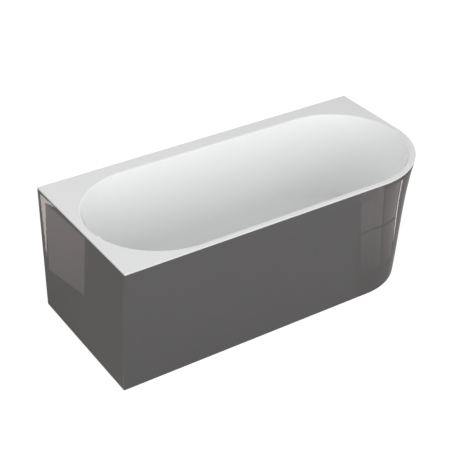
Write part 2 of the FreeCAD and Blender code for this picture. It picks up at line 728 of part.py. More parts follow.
BRACKET_OUT = "apron_wall/2"
BRACKET_IN = "apron_wall + bracket_thickness"
BEND_Y = f"({toe_face('0', BRACKET_IN)} + bracket_bend)"
bracket = new_body("toe_bracket")
bracket_section = new_sketch(bracket, "bracket_section", "YZ_Plane")
draw_path(bracket_section, (toe_face("bracket_thickness", BRACKET_OUT), "bracket_thickness"), [
    ((toe_face(BRACKET_FOOT, BRACKET_OUT), BRACKET_FOOT),),
    ((toe_face(BRACKET_FOOT, BRACKET_IN), BRACKET_FOOT),),
    ((toe_face("0", BRACKET_IN), "-bracket_bend"),),
    ((BEND_Y, "0"), (BEND_Y, "-bracket_bend"), -1),
    ((BRACKET_SEAT, "0"),),
    ((BRACKET_SEAT, "bracket_thickness"),),
    ((toe_face("bracket_thickness", BRACKET_OUT), "bracket_thickness"),)])
pad(bracket, bracket_section, "bracket_width", midplane=True)
bracket_holes = [(across, f"{BRACKET_SCREW_Y} - {CROSS_FRONT}") for across in BRACKET_SCREW_X]
drill(bracket, "bracket_holes", bracket_holes, SCREW_HOLE, "0", "4*bracket_thickness")
bracket_spots = [(x, CROSS_FRONT, RAIL_UNDER, UPRIGHT) for x in CROSS_X.values()]
behind_apron("apron_toe_brackets", copies("bracket_blanks", bracket, bracket_spots))

# Feet: a domed plastic pad on a threaded stud, which screws up and down in its cross member
PAD_DOME = dome("pad_radius - pad_neck", "pad_depth - pad_edge")
for label, (x, y) in FEET.items():
    turned(f"foot_pad_{label}", [
        ("0", "0"), ("pad_radius", "0"), ("pad_radius", "pad_edge"),
        (("pad_neck", "pad_depth"), ("pad_neck", f"pad_depth - {PAD_DOME}"), 1),
        ("stud_radius + stud_gap", "pad_depth"), ("stud_radius + stud_gap", "pad_sole"), ("0", "pad_sole")],
        (x, y, "0"))
    turned(f"foot_stud_{label}", [
        ("0", "pad_sole"), ("stud_radius", "pad_sole"),
        ("stud_radius", f"{RAIL_UNDER} + stud_top - edge_break"),
        ("stud_radius - edge_break", f"{RAIL_UNDER} + stud_top"),
        ("0", f"{RAIL_UNDER} + stud_top")], (x, y, "0"))


# Two lock nuts on each stud, one under and one over the cross member
NUT_REACH = "(nut_width/sqrt(3))"
nut = new_body("lock_nut")
nut_plan = new_sketch(nut, "nut_plan")
draw_path(nut_plan, (NUT_REACH, "0"), [
    ((f"{NUT_REACH}/2", "nut_width/2"),),
    ((f"-{NUT_REACH}/2", "nut_width/2"),),
    ((f"-{NUT_REACH}", "0"),),
    ((f"-{NUT_REACH}/2", "-nut_width/2"),),
    ((f"{NUT_REACH}/2", "-nut_width/2"),),
    ((NUT_REACH, "0"),)])
draw_circle(nut_plan, ("0", "0"), "stud_radius + stud_gap")
pad(nut, nut_plan, "nut_depth")
copies("lock_nuts", nut, [(x, y, level, UPRIGHT) for x, y in FEET.values()
                          for level in (RAIL_UNDER, f"{CROSS_UNDER} - nut_depth")])


def add_bridge(piece, name, reach, level, bore):
    """A cross of two bars with a bored hub in the middle of a turned piece, under a level."""
    bars = new_sketch(piece, f"{name}_bar", offset=f"{level} - bridge_depth")
    rounded_rectangle(bars, f"2*({reach})", "bridge_width", "bridge_width/4")
    pad(piece, bars, "bridge_depth")
    across = new_sketch(piece, f"{name}_across", offset=f"{level} - bridge_depth")
    rounded_rectangle(across, "bridge_width", f"2*({reach})", "bridge_width/4")
    pad(piece, across, "bridge_depth")
    hub = new_sketch(piece, f"{name}_hub", offset=f"{level} - bridge_depth")
    draw_circle(hub, ("0", "0"), "hub_radius")
    pad(piece, hub, "bridge_depth")
    drill(piece, f"{name}_bore", [("0", "0")], f"({bore}) + running_fit", level, "4*bridge_depth")


# Waste: strainer flange through the floor, seals above and below, and the body under the floor
WASTE_SEAT = (*WASTE, FLOOR_TOP)
COLLAR_BORE = "(collar_radius - collar_wall)"
FLANGE_TOP = "(seal_depth + flange_depth)"
flange = turned("waste_flange", [
    (COLLAR_BORE, "-collar_depth"), ("collar_radius", "-collar_depth"), ("collar_radius", "seal_depth"),
    ("flange_radius", "seal_depth"), ("flange_radius", "seal_depth + flange_depth/3"),
    ("flange_radius - flange_depth/2", FLANGE_TOP), (f"{COLLAR_BORE} + flange_depth/2", FLANGE_TOP),
    (COLLAR_BORE, f"{FLANGE_TOP} - flange_depth/2")], WASTE_SEAT)
add_bridge(flange, "flange_bridge", f"{COLLAR_BORE} + collar_wall/2", "-bridge_level", "stem_radius")
turned("waste_seal_top", [
    ("collar_radius + socket_gap", "0"), ("flange_radius - edge_break", "0"),
    ("flange_radius - edge_break", "seal_depth"), ("collar_radius + socket_gap", "seal_depth")], WASTE_SEAT)
BODY_TOP = f"(-{SKIN_OUT} - seal_depth)"
BODY_FLOOR = f"({BODY_TOP} - waste_depth)"
turned("waste_seal_bottom", [
    ("waste_hole", BODY_TOP), ("waste_radius + waste_lip/2", BODY_TOP),
    ("waste_radius + waste_lip/2", f"-{SKIN_OUT}"), ("waste_hole", f"-{SKIN_OUT}")], WASTE_SEAT)
drain = turned("waste_body", [
    ("collar_radius + socket_gap", BODY_TOP), ("waste_radius + waste_lip", BODY_TOP),
    ("waste_radius + waste_lip", f"{BODY_TOP} - waste_lip"), ("waste_radius", f"{BODY_TOP} - waste_lip"),
    ("waste_radius", BODY_FLOOR), ("trap_radius", BODY_FLOOR),
    ("trap_radius", f"{BODY_FLOOR} - tail_length"),
    ("trap_radius - trap_wall", f"{BODY_FLOOR} - tail_length"),
    ("trap_radius - trap_wall", f"{BODY_FLOOR} + waste_wall"),
    ("waste_radius - waste_wall", f"{BODY_FLOOR} + waste_wall"),
    ("waste_radius - waste_wall", f"{BODY_TOP} - waste_lip"),
    ("collar_radius + socket_gap", f"{BODY_TOP} - waste_lip")], WASTE_SEAT)

# Pop-up plug: a domed cap on a seal and a stem that slides in the strainer's hub
SEAL_FLOOR = f"({FLANGE_TOP} + plug_gap)"
CAP_FLOOR = f"({SEAL_FLOOR} + seal_depth)"
PLUG_DOME = dome("plug_radius", "plug_crown - plug_edge")
turned("plug_seal", [
    ("stem_radius + running_fit", SEAL_FLOOR), ("plug_radius - edge_break", SEAL_FLOOR),
    ("plug_radius - edge_break", CAP_FLOOR), ("stem_radius + running_fit", CAP_FLOOR)], WASTE_SEAT)
turned("plug_cap", [
    ("0", CAP_FLOOR), ("plug_radius", CAP_FLOOR), ("plug_radius", f"{CAP_FLOOR} + plug_edge"),
    (("0", f"{CAP_FLOOR} + plug_crown"), ("0", f"{CAP_FLOOR} + plug_crown - {PLUG_DOME}"), 1)], WASTE_SEAT)
turned("plug_stem", [
    ("0", f"{CAP_FLOOR} - stem_length"), ("stem_radius - edge_break", f"{CAP_FLOOR} - stem_length"),
    ("stem_radius", f"{CAP_FLOOR} - stem_length + edge_break"), ("stem_radius", CAP_FLOOR), ("0", CAP_FLOOR)],
    WASTE_SEAT)

# Overflow: pieces turned on the axis square to the leaning wall, seen from inside the basin
SOCKET_BORE = "(pipe_radius + socket_gap)"
SOCKET_RADIUS = f"({SOCKET_BORE} + socket_wall)"
NUT_INNER = f"({SOCKET_RADIUS} + socket_gap)"
NUT_OUTER = f"({NUT_INNER} + nut_wall)"
PIPE_OUT = f"({NUT_OUTER} + socket_gap)"
SKIN_BACK = f"(-{SKIN_OUT}*cos({LEAN}))"
REAR_TOP = f"({SKIN_BACK} - gasket_depth)"
PIPE_AXIS = f"({SKIN_BACK} - {PIPE_OUT})"
REAR_FLOOR = f"(2*{PIPE_AXIS} - {REAR_TOP})"


def conform(label, blank, wall_piece):
    """A piece whose seat is cut to the curve of the wall it lies on."""
    piece = doc.addObject("Part::Cut", label)
    piece.Label = label
    piece.Base = blank
    piece.Tool = wall_piece
    return piece


gasket_blank = turned("gasket_blank", [
    ("overflow_hole", REAR_TOP), ("overflow_radius", REAR_TOP),
    ("overflow_radius", f"{SKIN_BACK} + skin/2"), ("overflow_hole", f"{SKIN_BACK} + skin/2")],
    OVERFLOW, OVERFLOW_ANGLE)
conform("overflow_gasket", gasket_blank, fibre)
trim_blank = turned("trim_blank", [
    ("overflow_collar - collar_wall", f"{REAR_TOP} - trim_depth"),
    ("overflow_collar", f"{REAR_TOP} - trim_depth"), ("overflow_collar", "-wall/2"),
    ("trim_radius", "-wall/2"), ("trim_radius", "trim_depth/2"), ("trim_radius - trim_depth/2", "trim_depth"),
    ("overflow_collar - collar_wall", "trim_depth")],
    OVERFLOW, OVERFLOW_ANGLE)
add_bridge(trim_blank, "trim_bridge", "overflow_collar - collar_wall/2", "0", "spindle_radius")
conform("overflow_trim", trim_blank, tub)

KNOB_BACK = "(trim_depth + knob_gap)"
KNOB_FRONT = f"({KNOB_BACK} + knob_depth)"
knob = turned("overflow_knob", [
    ("0", KNOB_BACK), ("knob_radius - edge_break", KNOB_BACK), ("knob_radius", f"{KNOB_BACK} + edge_break"),
    ("knob_radius", f"{KNOB_FRONT} - knob_bevel"), ("knob_radius - knob_bevel", KNOB_FRONT),
    ("0", KNOB_FRONT)], OVERFLOW, OVERFLOW_ANGLE)
scallop(knob, "knob_grips", KNOB_BACK, "knob_depth", "knob_radius + grip_radius/2", "grip_radius",
        KNOB_GRIP_COUNT)
SPINDLE_END = f"({REAR_FLOOR} + waste_wall + socket_gap)"
turned("knob_spindle", [
    ("0", SPINDLE_END), ("spindle_radius", SPINDLE_END), ("spindle_radius", KNOB_BACK), ("0", KNOB_BACK)],
    OVERFLOW, OVERFLOW_ANGLE)
rear = turned("overflow_body", [
    ("0", REAR_FLOOR), ("overflow_radius - waste_wall", REAR_FLOOR),
    ("overflow_radius", f"{REAR_FLOOR} + waste_wall"), ("overflow_radius", REAR_TOP),
    ("overflow_radius - waste_wall", REAR_TOP),
    ("overflow_radius - waste_wall", f"{REAR_FLOOR} + waste_wall"),
    ("0", f"{REAR_FLOOR} + waste_wall")], OVERFLOW, OVERFLOW_ANGLE)
REAR_SOCKET_END = "(overflow_radius + socket_length)"
rear_socket = new_sketch(rear, "rear_socket", "YZ_Plane", "overflow_radius - waste_wall")
draw_circle(rear_socket, ("0", PIPE_AXIS), SOCKET_RADIUS)
pad(rear, rear_socket, "socket_length + waste_wall")
rear_bore = new_sketch(rear, "rear_bore", "YZ_Plane", REAR_SOCKET_END)
draw_circle(rear_bore, ("0", PIPE_AXIS), SOCKET_BORE)
pad(rear, rear_bore, "4*socket_length", "Pocket", midplane=True)

# Overflow pipe: follows the underside of the basin at one distance, down the end and along the floor
PIPE_LEVEL = f"({SKIN_UNDER} - {PIPE_OUT})"
PIPE_BEND = f"(floor_radius + {SKIN_OUT} + {PIPE_OUT})"
PIPE_CENTRE_Z = f"({PIPE_LEVEL} + {PIPE_BEND})"


def along_wall(down):
    """A point on the pipe's leaning run, at a distance down the wall from the overflow's axis."""
    return (f"({OVERFLOW[0]} + {PIPE_AXIS}*cos({LEAN}) + ({down})*sin({LEAN}))",
            f"({OVERFLOW[2]} + {PIPE_AXIS}*sin({LEAN}) - ({down})*cos({LEAN}))")


WALL_START = along_wall("0")
PIPE_CENTRE_X = (f"({WALL_START[0]} + ({PIPE_BEND} - sin({LEAN})*({PIPE_CENTRE_Z} - {WALL_START[1]}))"
                 f"/cos({LEAN}))")
BEND_START = (f"({PIPE_CENTRE_X} - {PIPE_BEND}*cos({LEAN}))", f"({PIPE_CENTRE_Z} - {PIPE_BEND}*sin({LEAN}))")


def pipe_route(piece, name, side, near_end, top):
    """The run under the floor, the bend concentric with the basin's heel, and the run up the wall."""
    drawing = new_sketch(piece, name, "XZ_Plane", f"-({side})")
    draw_path(drawing, (near_end, PIPE_LEVEL), [
        ((PIPE_CENTRE_X, PIPE_LEVEL),),
        (BEND_START, (PIPE_CENTRE_X, PIPE_CENTRE_Z), -1),
        (top,)], closed=False)
    return drawing


def sweep(piece, name, drawing, route):
    feature = piece.newObject("PartDesign::AdditivePipe", name)
    feature.Profile = drawing
    feature.Spine = (route, [f"Edge{number + 1}" for number in range(route.GeometryCount)])
    return feature


DRAIN_SOCKET_END = f"({WASTE[0]} - waste_radius - socket_length)"
PIPE_END = f"({DRAIN_SOCKET_END} + nut_grip)"
pipe = new_body("overflow_pipe")
pipe_path = pipe_route(pipe, "pipe_path", LEFT_Y, PIPE_END, along_wall(f"{REAR_SOCKET_END} - nut_grip"))
pipe_ring = new_sketch(pipe, "pipe_ring", "YZ_Plane", PIPE_END)
draw_circle(pipe_ring, (LEFT_Y, PIPE_LEVEL), "pipe_radius")
draw_circle(pipe_ring, (LEFT_Y, PIPE_LEVEL), "pipe_radius - pipe_wall")
sweep(pipe, "pipe_sweep", pipe_ring, pipe_path)

# The waste body takes the pipe in a socket on its left side
PIPE_DROP = f"({PIPE_LEVEL} - {FLOOR_TOP})"
drain_socket = new_sketch(drain, "drain_socket", "YZ_Plane", "-waste_radius - socket_length")
draw_circle(drain_socket, ("0", PIPE_DROP), SOCKET_RADIUS)
pad(drain, drain_socket, "socket_length + waste_wall")
drain_bore = new_sketch(drain, "drain_bore", "YZ_Plane", "-waste_radius - socket_length")
draw_circle(drain_bore, ("0", PIPE_DROP), SOCKET_BORE)
pad(drain, drain_bore, "4*socket_length", "Pocket", midplane=True)
drain_core = new_sketch(drain, "drain_core", offset=f"{BODY_TOP} - waste_lip")
draw_circle(drain_core, ("0", "0"), "waste_radius - waste_wall")
pad(drain, drain_core, "waste_depth - waste_lip - waste_wall", "Pocket")


def pipe_nut(label, place, angle):
    """A slip nut: a threaded skirt over a socket, a lip down to the pipe, and grip grooves."""
    piece = turned(label, [
        (SOCKET_BORE, "-nut_wall"), (NUT_OUTER, "-nut_wall"), (NUT_OUTER, "nut_grip - edge_break"),
        (f"{NUT_OUTER} - edge_break", "nut_grip"), (NUT_INNER, "nut_grip"), (NUT_INNER, "0"),
        (SOCKET_BORE, "0")], place, angle)
    scallop(piece, f"{label}_grooves", "-nut_wall", "nut_grip + nut_wall",
            f"{NUT_OUTER} + groove_radius - groove_depth", "groove_radius", PIPE_GROOVE_COUNT)


# Slip nuts at both ends of the overflow pipe
wall_nut = along_wall(REAR_SOCKET_END)
pipe_nut("pipe_nut_top", (wall_nut[0], LEFT_Y, wall_nut[1]), f"-{LEAN}")
pipe_nut("pipe_nut_bottom", (DRAIN_SOCKET_END, LEFT_Y, PIPE_LEVEL), "90 deg")

# Control cable: runs beside the pipe from the knob's spindle to the lifting pin of the plug
CABLE_SIDE = f"({NUT_OUTER} + cable_radius + socket_gap)"
CABLE_EDGE = f"({CABLE_SIDE} - cable_radius)"
CABLE_END = f"({WASTE[0]} - sqrt(waste_radius^2 - {CABLE_EDGE}^2) - socket_gap)"
CABLE_TOP = along_wall(f"sqrt(overflow_radius^2 - {CABLE_EDGE}^2) + socket_gap")
cable = new_body("control_cable")
cable_path = pipe_route(cable, "cable_path", f"{LEFT_Y} - {CABLE_SIDE}", CABLE_END, CABLE_TOP)
cable_ring = new_sketch(cable, "cable_ring", "YZ_Plane", CABLE_END)
draw_circle(cable_ring, (f"{LEFT_Y} - {CABLE_SIDE}", PIPE_LEVEL), "cable_radius")
sweep(cable, "cable_sweep", cable_ring, cable_path)

# Trap: a water-seal bend under the waste, in the plane of the outlet, with its nuts and outlet pipe
TAIL_END = f"({FLOOR_TOP} + {BODY_FLOOR} - tail_length)"
TRAP_TOP = f"({TAIL_END} - socket_gap)"
TRAP_LOW = f"({TRAP_TOP} - trap_drop)"
TRAP_HIGH = f"({TRAP_LOW} + trap_rise)"
OUTLET_LEVEL = f"({TRAP_HIGH} + trap_bend_radius)"
TRAP_END = f"({LEFT_Y} + 3*trap_bend_radius + trap_run)"
trap = new_body("trap_bend")
trap_path = new_sketch(trap, "trap_path", "YZ_Plane", WASTE[0])
draw_path(trap_path, (LEFT_Y, TRAP_TOP), [
    ((LEFT_Y, TRAP_LOW),),
    ((f"{LEFT_Y} + trap_bend_radius", f"{TRAP_LOW} - trap_bend_radius"),
     (f"{LEFT_Y} + trap_bend_radius", TRAP_LOW), 1),
    ((f"{LEFT_Y} + 2*trap_bend_radius", TRAP_LOW), (f"{LEFT_Y} + trap_bend_radius", TRAP_LOW), 1),
    ((f"{LEFT_Y} + 2*trap_bend_radius", TRAP_HIGH),),
    ((f"{LEFT_Y} + 3*trap_bend_radius", OUTLET_LEVEL), (f"{LEFT_Y} + 3*trap_bend_radius", TRAP_HIGH), -1),
    ((TRAP_END, OUTLET_LEVEL),)], closed=False)
trap_ring = new_sketch(trap, "trap_ring", offset=TRAP_TOP)
draw_circle(trap_ring, WASTE, "trap_radius")
draw_circle(trap_ring, WASTE, "trap_radius - trap_wall")
sweep(trap, "trap_sweep", trap_ring, trap_path)


def trap_nut(label, place, angle=None, axis=Vector(0, 1, 0)):
    """A nut on a joint of the trap, with grip grooves."""
    piece = turned(label, [
        ("trap_radius + socket_gap", "-trap_nut_depth/2"), ("trap_nut_radius", "-trap_nut_depth/2"),
        ("trap_nut_radius", "trap_nut_depth/2 - edge_break"),
        ("trap_nut_radius - edge_break", "trap_nut_depth/2"),
        ("trap_radius + socket_gap", "trap_nut_depth/2")], place, angle, axis)
    scallop(piece, f"{label}_grooves", "-trap_nut_depth/2", "trap_nut_depth",
            "trap_nut_radius + groove_radius - groove_depth", "groove_radius", TRAP_GROOVE_COUNT)


trap_nut("trap_inlet_nut", (*WASTE, TRAP_TOP))
OUTLET_WAY = ("-90 deg", Vector(1, 0, 0))
trap_nut("trap_outlet_nut", (WASTE[0], TRAP_END, OUTLET_LEVEL), *OUTLET_WAY)
OUTLET_BORE = "(trap_radius - trap_wall)"
OUTLET_LENGTH = f"(bath_width/2 - outlet_gap - {TRAP_END})"
BEAD = "(trap_nut_depth/2 + outlet_bead)"
turned("outlet_pipe", [
    (OUTLET_BORE, "socket_gap"), ("trap_radius", "socket_gap"), ("trap_radius", BEAD),
    ("trap_radius + outlet_bead", BEAD), ("trap_radius + outlet_bead", f"{BEAD} + outlet_bead"),
    ("trap_radius", f"{BEAD} + outlet_bead"), ("trap_radius", OUTLET_LENGTH), (OUTLET_BORE, OUTLET_LENGTH)],
    (WASTE[0], TRAP_END, OUTLET_LEVEL), *OUTLET_WAY)

# Every feature has to be whole before anything is written
doc.recompute()
broken = [item.Name for item in doc.Objects if "Invalid" in item.State or "Error" in item.State]
if broken:
    raise RuntimeError(f"failed features: {broken}")
BLANKS = {
    "basin_cavity", "fibre_core", "apron_core", "gasket_blank", "trim_blank", "clip_blanks", "bracket_blanks",
    "board_screw", "plate_screw", "bracket_screw", "tube_cap", "apron_clip", "toe_bracket", "lock_nut"}
KINDS = ("PartDesign::Body", "Part::Compound", "Part::Common", "Part::Cut")
pieces = [item for item in doc.Objects if item.TypeId in KINDS and item.Label not in BLANKS]
for piece in pieces:
    if piece.Shape.isNull() or not piece.Shape.isValid():
        raise RuntimeError(f"bad shape: {piece.Label}")
os.makedirs("parts", exist_ok=True)
for piece in pieces:
    piece.Shape.exportStep(f"parts/{piece.Label}.step")
    print(piece.Label, len(piece.Shape.Solids), round(piece.Shape.Volume / 1000, 2))
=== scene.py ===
# Left-hand corner bath: a white acrylic shell and a graphite apron on a steel cradle with five feet,
# with a pop-up waste, an overflow that works it, and a trap. Metres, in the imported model's own frame.
import math

import bmesh
import bpy
import numpy as np
from mathutils import Matrix, Vector


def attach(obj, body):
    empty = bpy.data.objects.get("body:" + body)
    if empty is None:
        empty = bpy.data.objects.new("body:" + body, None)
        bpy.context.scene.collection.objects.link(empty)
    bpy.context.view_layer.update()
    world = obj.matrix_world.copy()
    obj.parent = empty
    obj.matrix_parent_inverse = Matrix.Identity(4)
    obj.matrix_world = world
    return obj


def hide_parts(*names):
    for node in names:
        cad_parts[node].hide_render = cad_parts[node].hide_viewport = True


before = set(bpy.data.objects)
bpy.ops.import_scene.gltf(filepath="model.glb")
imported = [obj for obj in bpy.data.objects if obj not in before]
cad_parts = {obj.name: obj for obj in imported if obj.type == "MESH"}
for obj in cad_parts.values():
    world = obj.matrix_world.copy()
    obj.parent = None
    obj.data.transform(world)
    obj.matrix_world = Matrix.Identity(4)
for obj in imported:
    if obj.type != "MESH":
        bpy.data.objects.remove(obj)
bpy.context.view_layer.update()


# Bath shell: one sheet of white cast acrylic, heated and drawn into a flat deck and a deep basin with two
# round ends. Its edge is trimmed square and eased, its inner lip is rounded over, and two holes are
# drilled in it for the waste and the overflow.
class Shade:
    """One output among the nodes of its owner, a material or a world. Sums of shades and numbers add Math
    nodes, so that 1 - mask reads as it looks."""

    def __init__(self, owner, socket=None):
        self.owner = owner
        self.socket = socket

    def node(self, kind, settings=None, inputs=None, output=0):
        """Adds a node: its settings, with a ramp's stops, then the values or links of its sockets."""
        tree = self.owner.node_tree
        made = tree.nodes.new(kind)
        for key, setting in (settings or {}).items():
            if key == "stops":
                elements = made.color_ramp.elements
                ends = [elements[0], elements[1]]
                middle = [elements.new(place) for place, colour in setting[1:-1]]
                for element, (place, colour) in zip([ends[0]] + middle + [ends[1]], setting):
                    element.position = place
                    element.color = (*colour, 1)
            else:
                setattr(made, key, setting)
        for key, given in (inputs or {}).items():
            if isinstance(given, Shade):
                tree.links.new(given.socket, made.inputs[key])
            else:
                made.inputs[key].default_value = given
        return Shade(self.owner, made.outputs[output] if made.outputs else None)

    def maths(self, operation, *terms):
        """One Math node on terms that are shades or numbers."""
        return self.node("ShaderNodeMath", {"operation": operation}, dict(enumerate(terms)))

    def __add__(self, other):
        return self.maths("ADD", self, other)

    def __sub__(self, other):
        return self.maths("SUBTRACT", self, other)

    def __rsub__(self, other):
        return self.maths("SUBTRACT", other, self)

    def __mul__(self, other):
        return self.maths("MULTIPLY", self, other)

    def __pow__(self, other):
        return self.maths("POWER", self, other)

    __radd__ = __add__
    __rmul__ = __mul__

    def between(self, low, high):
        """0 below low, 1 above high and a smooth rise between them."""
        return self.node("ShaderNodeMapRange", {"interpolation_type": "SMOOTHSTEP"},
                         {"Value": self, "From Min": low, "From Max": high})

    def tint(self, first, second):
        """The first colour where the shade is 0 and the second where it is 1."""
        colours = [(*c, 1) if isinstance(c, tuple) else c for c in (first, second)]
        return self.node("ShaderNodeMix", {"data_type": "RGBA"}, {0: self, 6: colours[0], 7: colours[1]}, 2)

    def noise(self, place, scale, detail=2.0, roughness=0.5, distortion=0.0):
        """Cloudy noise from 0 to 1, with about scale lumps to the metre."""
        return self.node("ShaderNodeTexNoise", {}, {"Vector": place, "Scale": scale, "Detail": detail,
                                                    "Roughness": roughness, "Distortion": distortion})

    def bump(self, height, distance, strength=1.0):
        """The way that a surface faces where a height from 0 to 1 lifts it by a distance."""
        return self.node("ShaderNodeBump", {}, {
            "Strength": strength, "Distance": distance, "Height": height})

    def surface(self, inputs):
        """Closes the material with one principled surface and hands it over."""
        coat = self.node("ShaderNodeBsdfPrincipled", {}, inputs)
        self.node("ShaderNodeOutputMaterial", {}, {"Surface": coat})
        return self.owner


def new_finish(name):
    """The shade that adds nodes to a new, empty material, and the place of a point on the object."""
    material = bpy.data.materials.new(name)
    material.use_nodes = True
    material.node_tree.nodes.clear()
    start = Shade(material)
    return start, start.node("ShaderNodeTexCoord", output="Object")


def white_acrylic():
    """Cast acrylic: a deep even gloss, faint cloudiness and hair-fine wiping marks in the polish. The deck's
    edge, found by one distance out from the round corner's centre and from lines inside the other edges,
    is painted greyer, a painted shade that dims the light on its front face, and made rougher."""
    start, place = new_finish("polished_white_acrylic")
    cloud = start.noise(place, 2.3, 3.0)
    peel = start.noise(place, 60.0, 2.0)
    stretched = start.node("ShaderNodeMapping", {}, {
        "Vector": place, "Rotation": (0, 0, 0.4), "Scale": (9, 160, 60)})
    wiping = start.noise(stretched, 3.0, 5.0, 0.7).between(0.58, 0.72)
    along, across = (start.node("ShaderNodeSeparateXYZ", {}, {"Vector": place}, way) for way in (0, 1))
    to_right = start.maths("MAXIMUM", along - RIGHT_X, 0.0)
    to_front = start.maths("MAXIMUM", RIGHT_Y - across, 0.0)
    to_walls = start.maths("MAXIMUM", -RIGHT_X - along, across + RIGHT_Y)
    outward = start.maths("MAXIMUM", (to_right ** 2 + to_front ** 2) ** 0.5, to_walls)
    # Painted shade: the deck's edge is painted greyer to dim the light that falls on its front face.
    painted_shade_edge = outward.between(CORNER_RADIUS - 0.0020, CORNER_RADIUS - 0.0008)
    polished_face = cloud.tint((0.842, 0.848, 0.848), (0.854, 0.856, 0.854))
    return start.surface({
        "Base Color": painted_shade_edge.tint(polished_face, (0.690, 0.695, 0.697)),
        "Roughness": 0.035 + 0.015 * cloud + 0.03 * wiping + 0.12 * painted_shade_edge,
        "IOR": 1.49,
        "Normal": start.bump(peel, 0.00004)})


def close_mesh(name, grids, ring=True, loop=False, sharp=32.0):
    """A mesh of quads over grids of points, row after row. A ring joins each row's ends, and a loop the
    last row to the first. Points that meet are merged, and the signed volume turns the faces outwards."""
    corners, faces, used = [], [], 0
    for points in grids:
        rows, columns = points.shape[:2]
        index = np.arange(rows * columns).reshape(rows, columns)
        index = np.hstack([index, index[:, :1]]) if ring else index
        index = np.vstack([index, index[:1]]) if loop else index
        quads = np.stack([index[:-1, :-1], index[:-1, 1:], index[1:, 1:], index[1:, :-1]], -1)
        quads = quads.reshape(-1, 4)
        flat = points.reshape(-1, 3)
        a, b, c, d = (flat[quads[:, k]] for k in range(4))
        volume = np.sum(np.cross(a, b) * c) + np.sum(np.cross(a, c) * d)
        faces.append((quads if volume > 0 else quads[:, ::-1]) + used)
        corners.append(flat)
        used += len(flat)
    mesh = bpy.data.meshes.new(name)
    mesh.from_pydata(np.concatenate(corners).tolist(), [], np.concatenate(faces).tolist())
    work = bmesh.new()
    work.from_mesh(mesh)
    bmesh.ops.remove_doubles(work, verts=work.verts, dist=1e-6)
    bmesh.ops.dissolve_degenerate(work, edges=work.edges, dist=1e-7)
    work.to_mesh(mesh)
    work.free()
    mesh.polygons.foreach_set("use_smooth", np.ones(len(mesh.polygons), bool))
    mesh.set_sharp_from_angle(angle=math.radians(sharp))
    mesh.update()
    return mesh


def fit_piece(mesh, material, body, slot, *nodes):
    """Puts a finished mesh on its body, in place of the solids that it stands for."""
    made = bpy.data.objects.new(mesh.name, mesh)
    bpy.context.scene.collection.objects.link(made)
    mesh.materials.append(material)
    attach(made, body)
    if nodes:
        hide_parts(*nodes)
    return made


TOP, DEPTH, FLOOR = 0.600, 0.430, 0.170
DECK_UNDER, DECK_EDGE, DECK_STEP = 0.594, 0.002, 0.0005
INSET, SLIDE = 0.062, 0.090
LEFT_X, LEFT_Y, LEFT_RADIUS = -0.4455, -0.0255, 0.3225
RIGHT_X, RIGHT_Y, FRONT_RADIUS, BACK_RADIUS = 0.438, -0.013, 0.335, 0.310
BACK_X = RIGHT_X + FRONT_RADIUS - BACK_RADIUS
HALF_LENGTH, HALF_WIDTH, CORNER_RADIUS = 0.800, 0.375, 0.362
HEEL, LIP, WALL = 0.090, 0.009, 0.005
WASTE_X, WASTE_Y, WASTE_HOLE = LEFT_X, LEFT_Y, 0.026

# Round the basin: the left half circle, the front, the front quarter circle, the back quarter circle and
# the back, with close steps where a line out from the basin meets a square corner of the deck
corner_turns = np.degrees(np.arctan2(
    [HALF_WIDTH - LEFT_Y, -HALF_WIDTH - LEFT_Y, HALF_WIDTH - RIGHT_Y],
    [-HALF_LENGTH - LEFT_X, -HALF_LENGTH - LEFT_X, HALF_LENGTH - BACK_X])) % 360
close_steps = np.array([-0.5, -0.15, 0.0, 0.15, 0.5])
left_turns = np.unique(np.concatenate([np.linspace(90, 270, 121), corner_turns[0] + close_steps,
                                       corner_turns[1] + close_steps]))
front_turns = np.linspace(270, 360, 61)
back_turns = np.unique(np.concatenate([np.linspace(361.5, 450, 60), 360 + corner_turns[2] + close_steps]))
shares = np.linspace(0, 1, 42)[1:-1]
straight = np.ones(len(shares))
turn = np.radians(np.concatenate([left_turns, 270 * straight, front_turns, back_turns, 90 * straight]))
nothing = [np.zeros(len(part)) for part in (left_turns, shares, front_turns, back_turns, shares)]
by_left = np.concatenate([nothing[0] + 1, 1 - shares, nothing[2], nothing[3], shares])
by_front = np.concatenate([nothing[0], shares, nothing[2] + 1, nothing[3], nothing[4]])
by_back = np.concatenate([nothing[0], nothing[1], nothing[2], nothing[3] + 1, 1 - shares])
out_x, out_y = np.cos(turn), np.sin(turn)
wall_lean = np.arctan((INSET - SLIDE * out_x * (by_left - by_front - by_back)) / DEPTH)


def basin_line(share, grown):
    """The basin's plan at a share of its depth, grown outwards: a centre that slides in along the bath on
    the way down, plus a radius that shrinks, in each point's own direction."""
    centre_x = (by_left * (LEFT_X + SLIDE * share) + by_front * (RIGHT_X - SLIDE * share)
                + by_back * (BACK_X - SLIDE * share))
    centre_y = by_left * LEFT_Y + (by_front + by_back) * RIGHT_Y
    radius = by_left * LEFT_RADIUS + by_front * FRONT_RADIUS + by_back * BACK_RADIUS - INSET * share + grown
    return np.stack([centre_x + radius * out_x, centre_y + radius * out_y], -1)


def rows_of(plan, height):
    """Rows of points from plans (rows, columns, 2) and heights that fit them."""
    height = np.broadcast_to(height, plan.shape[:2])
    return np.concatenate([plan, height[..., None]], -1)


def heel_rows(grown, count):
    """The rounded heel, floor to wall: a turn about a line that keeps one radius from floor and wall."""
    radius, floor = HEEL + grown, FLOOR - grown
    touch = (DEPTH + grown - radius * (1 - np.sin(wall_lean))) / DEPTH
    swing = np.pi / 2 + (wall_lean - np.pi / 2) * np.linspace(0, 1, count)[:, None]
    reach = radius * (np.cos(swing) - np.cos(wall_lean))
    plan = basin_line(touch, grown) + reach[..., None] * np.stack([out_x, out_y], -1)
    return rows_of(plan, floor + radius * (1 - np.sin(swing))), touch


def wall_rows(grown, low_share, high_share, count):
    """The wall between two shares of the depth, straight from one to the other."""
    share = low_share + (high_share - low_share) * np.linspace(0, 1, count)[:, None]
    return rows_of(basin_line(share, grown), TOP - DEPTH * share)


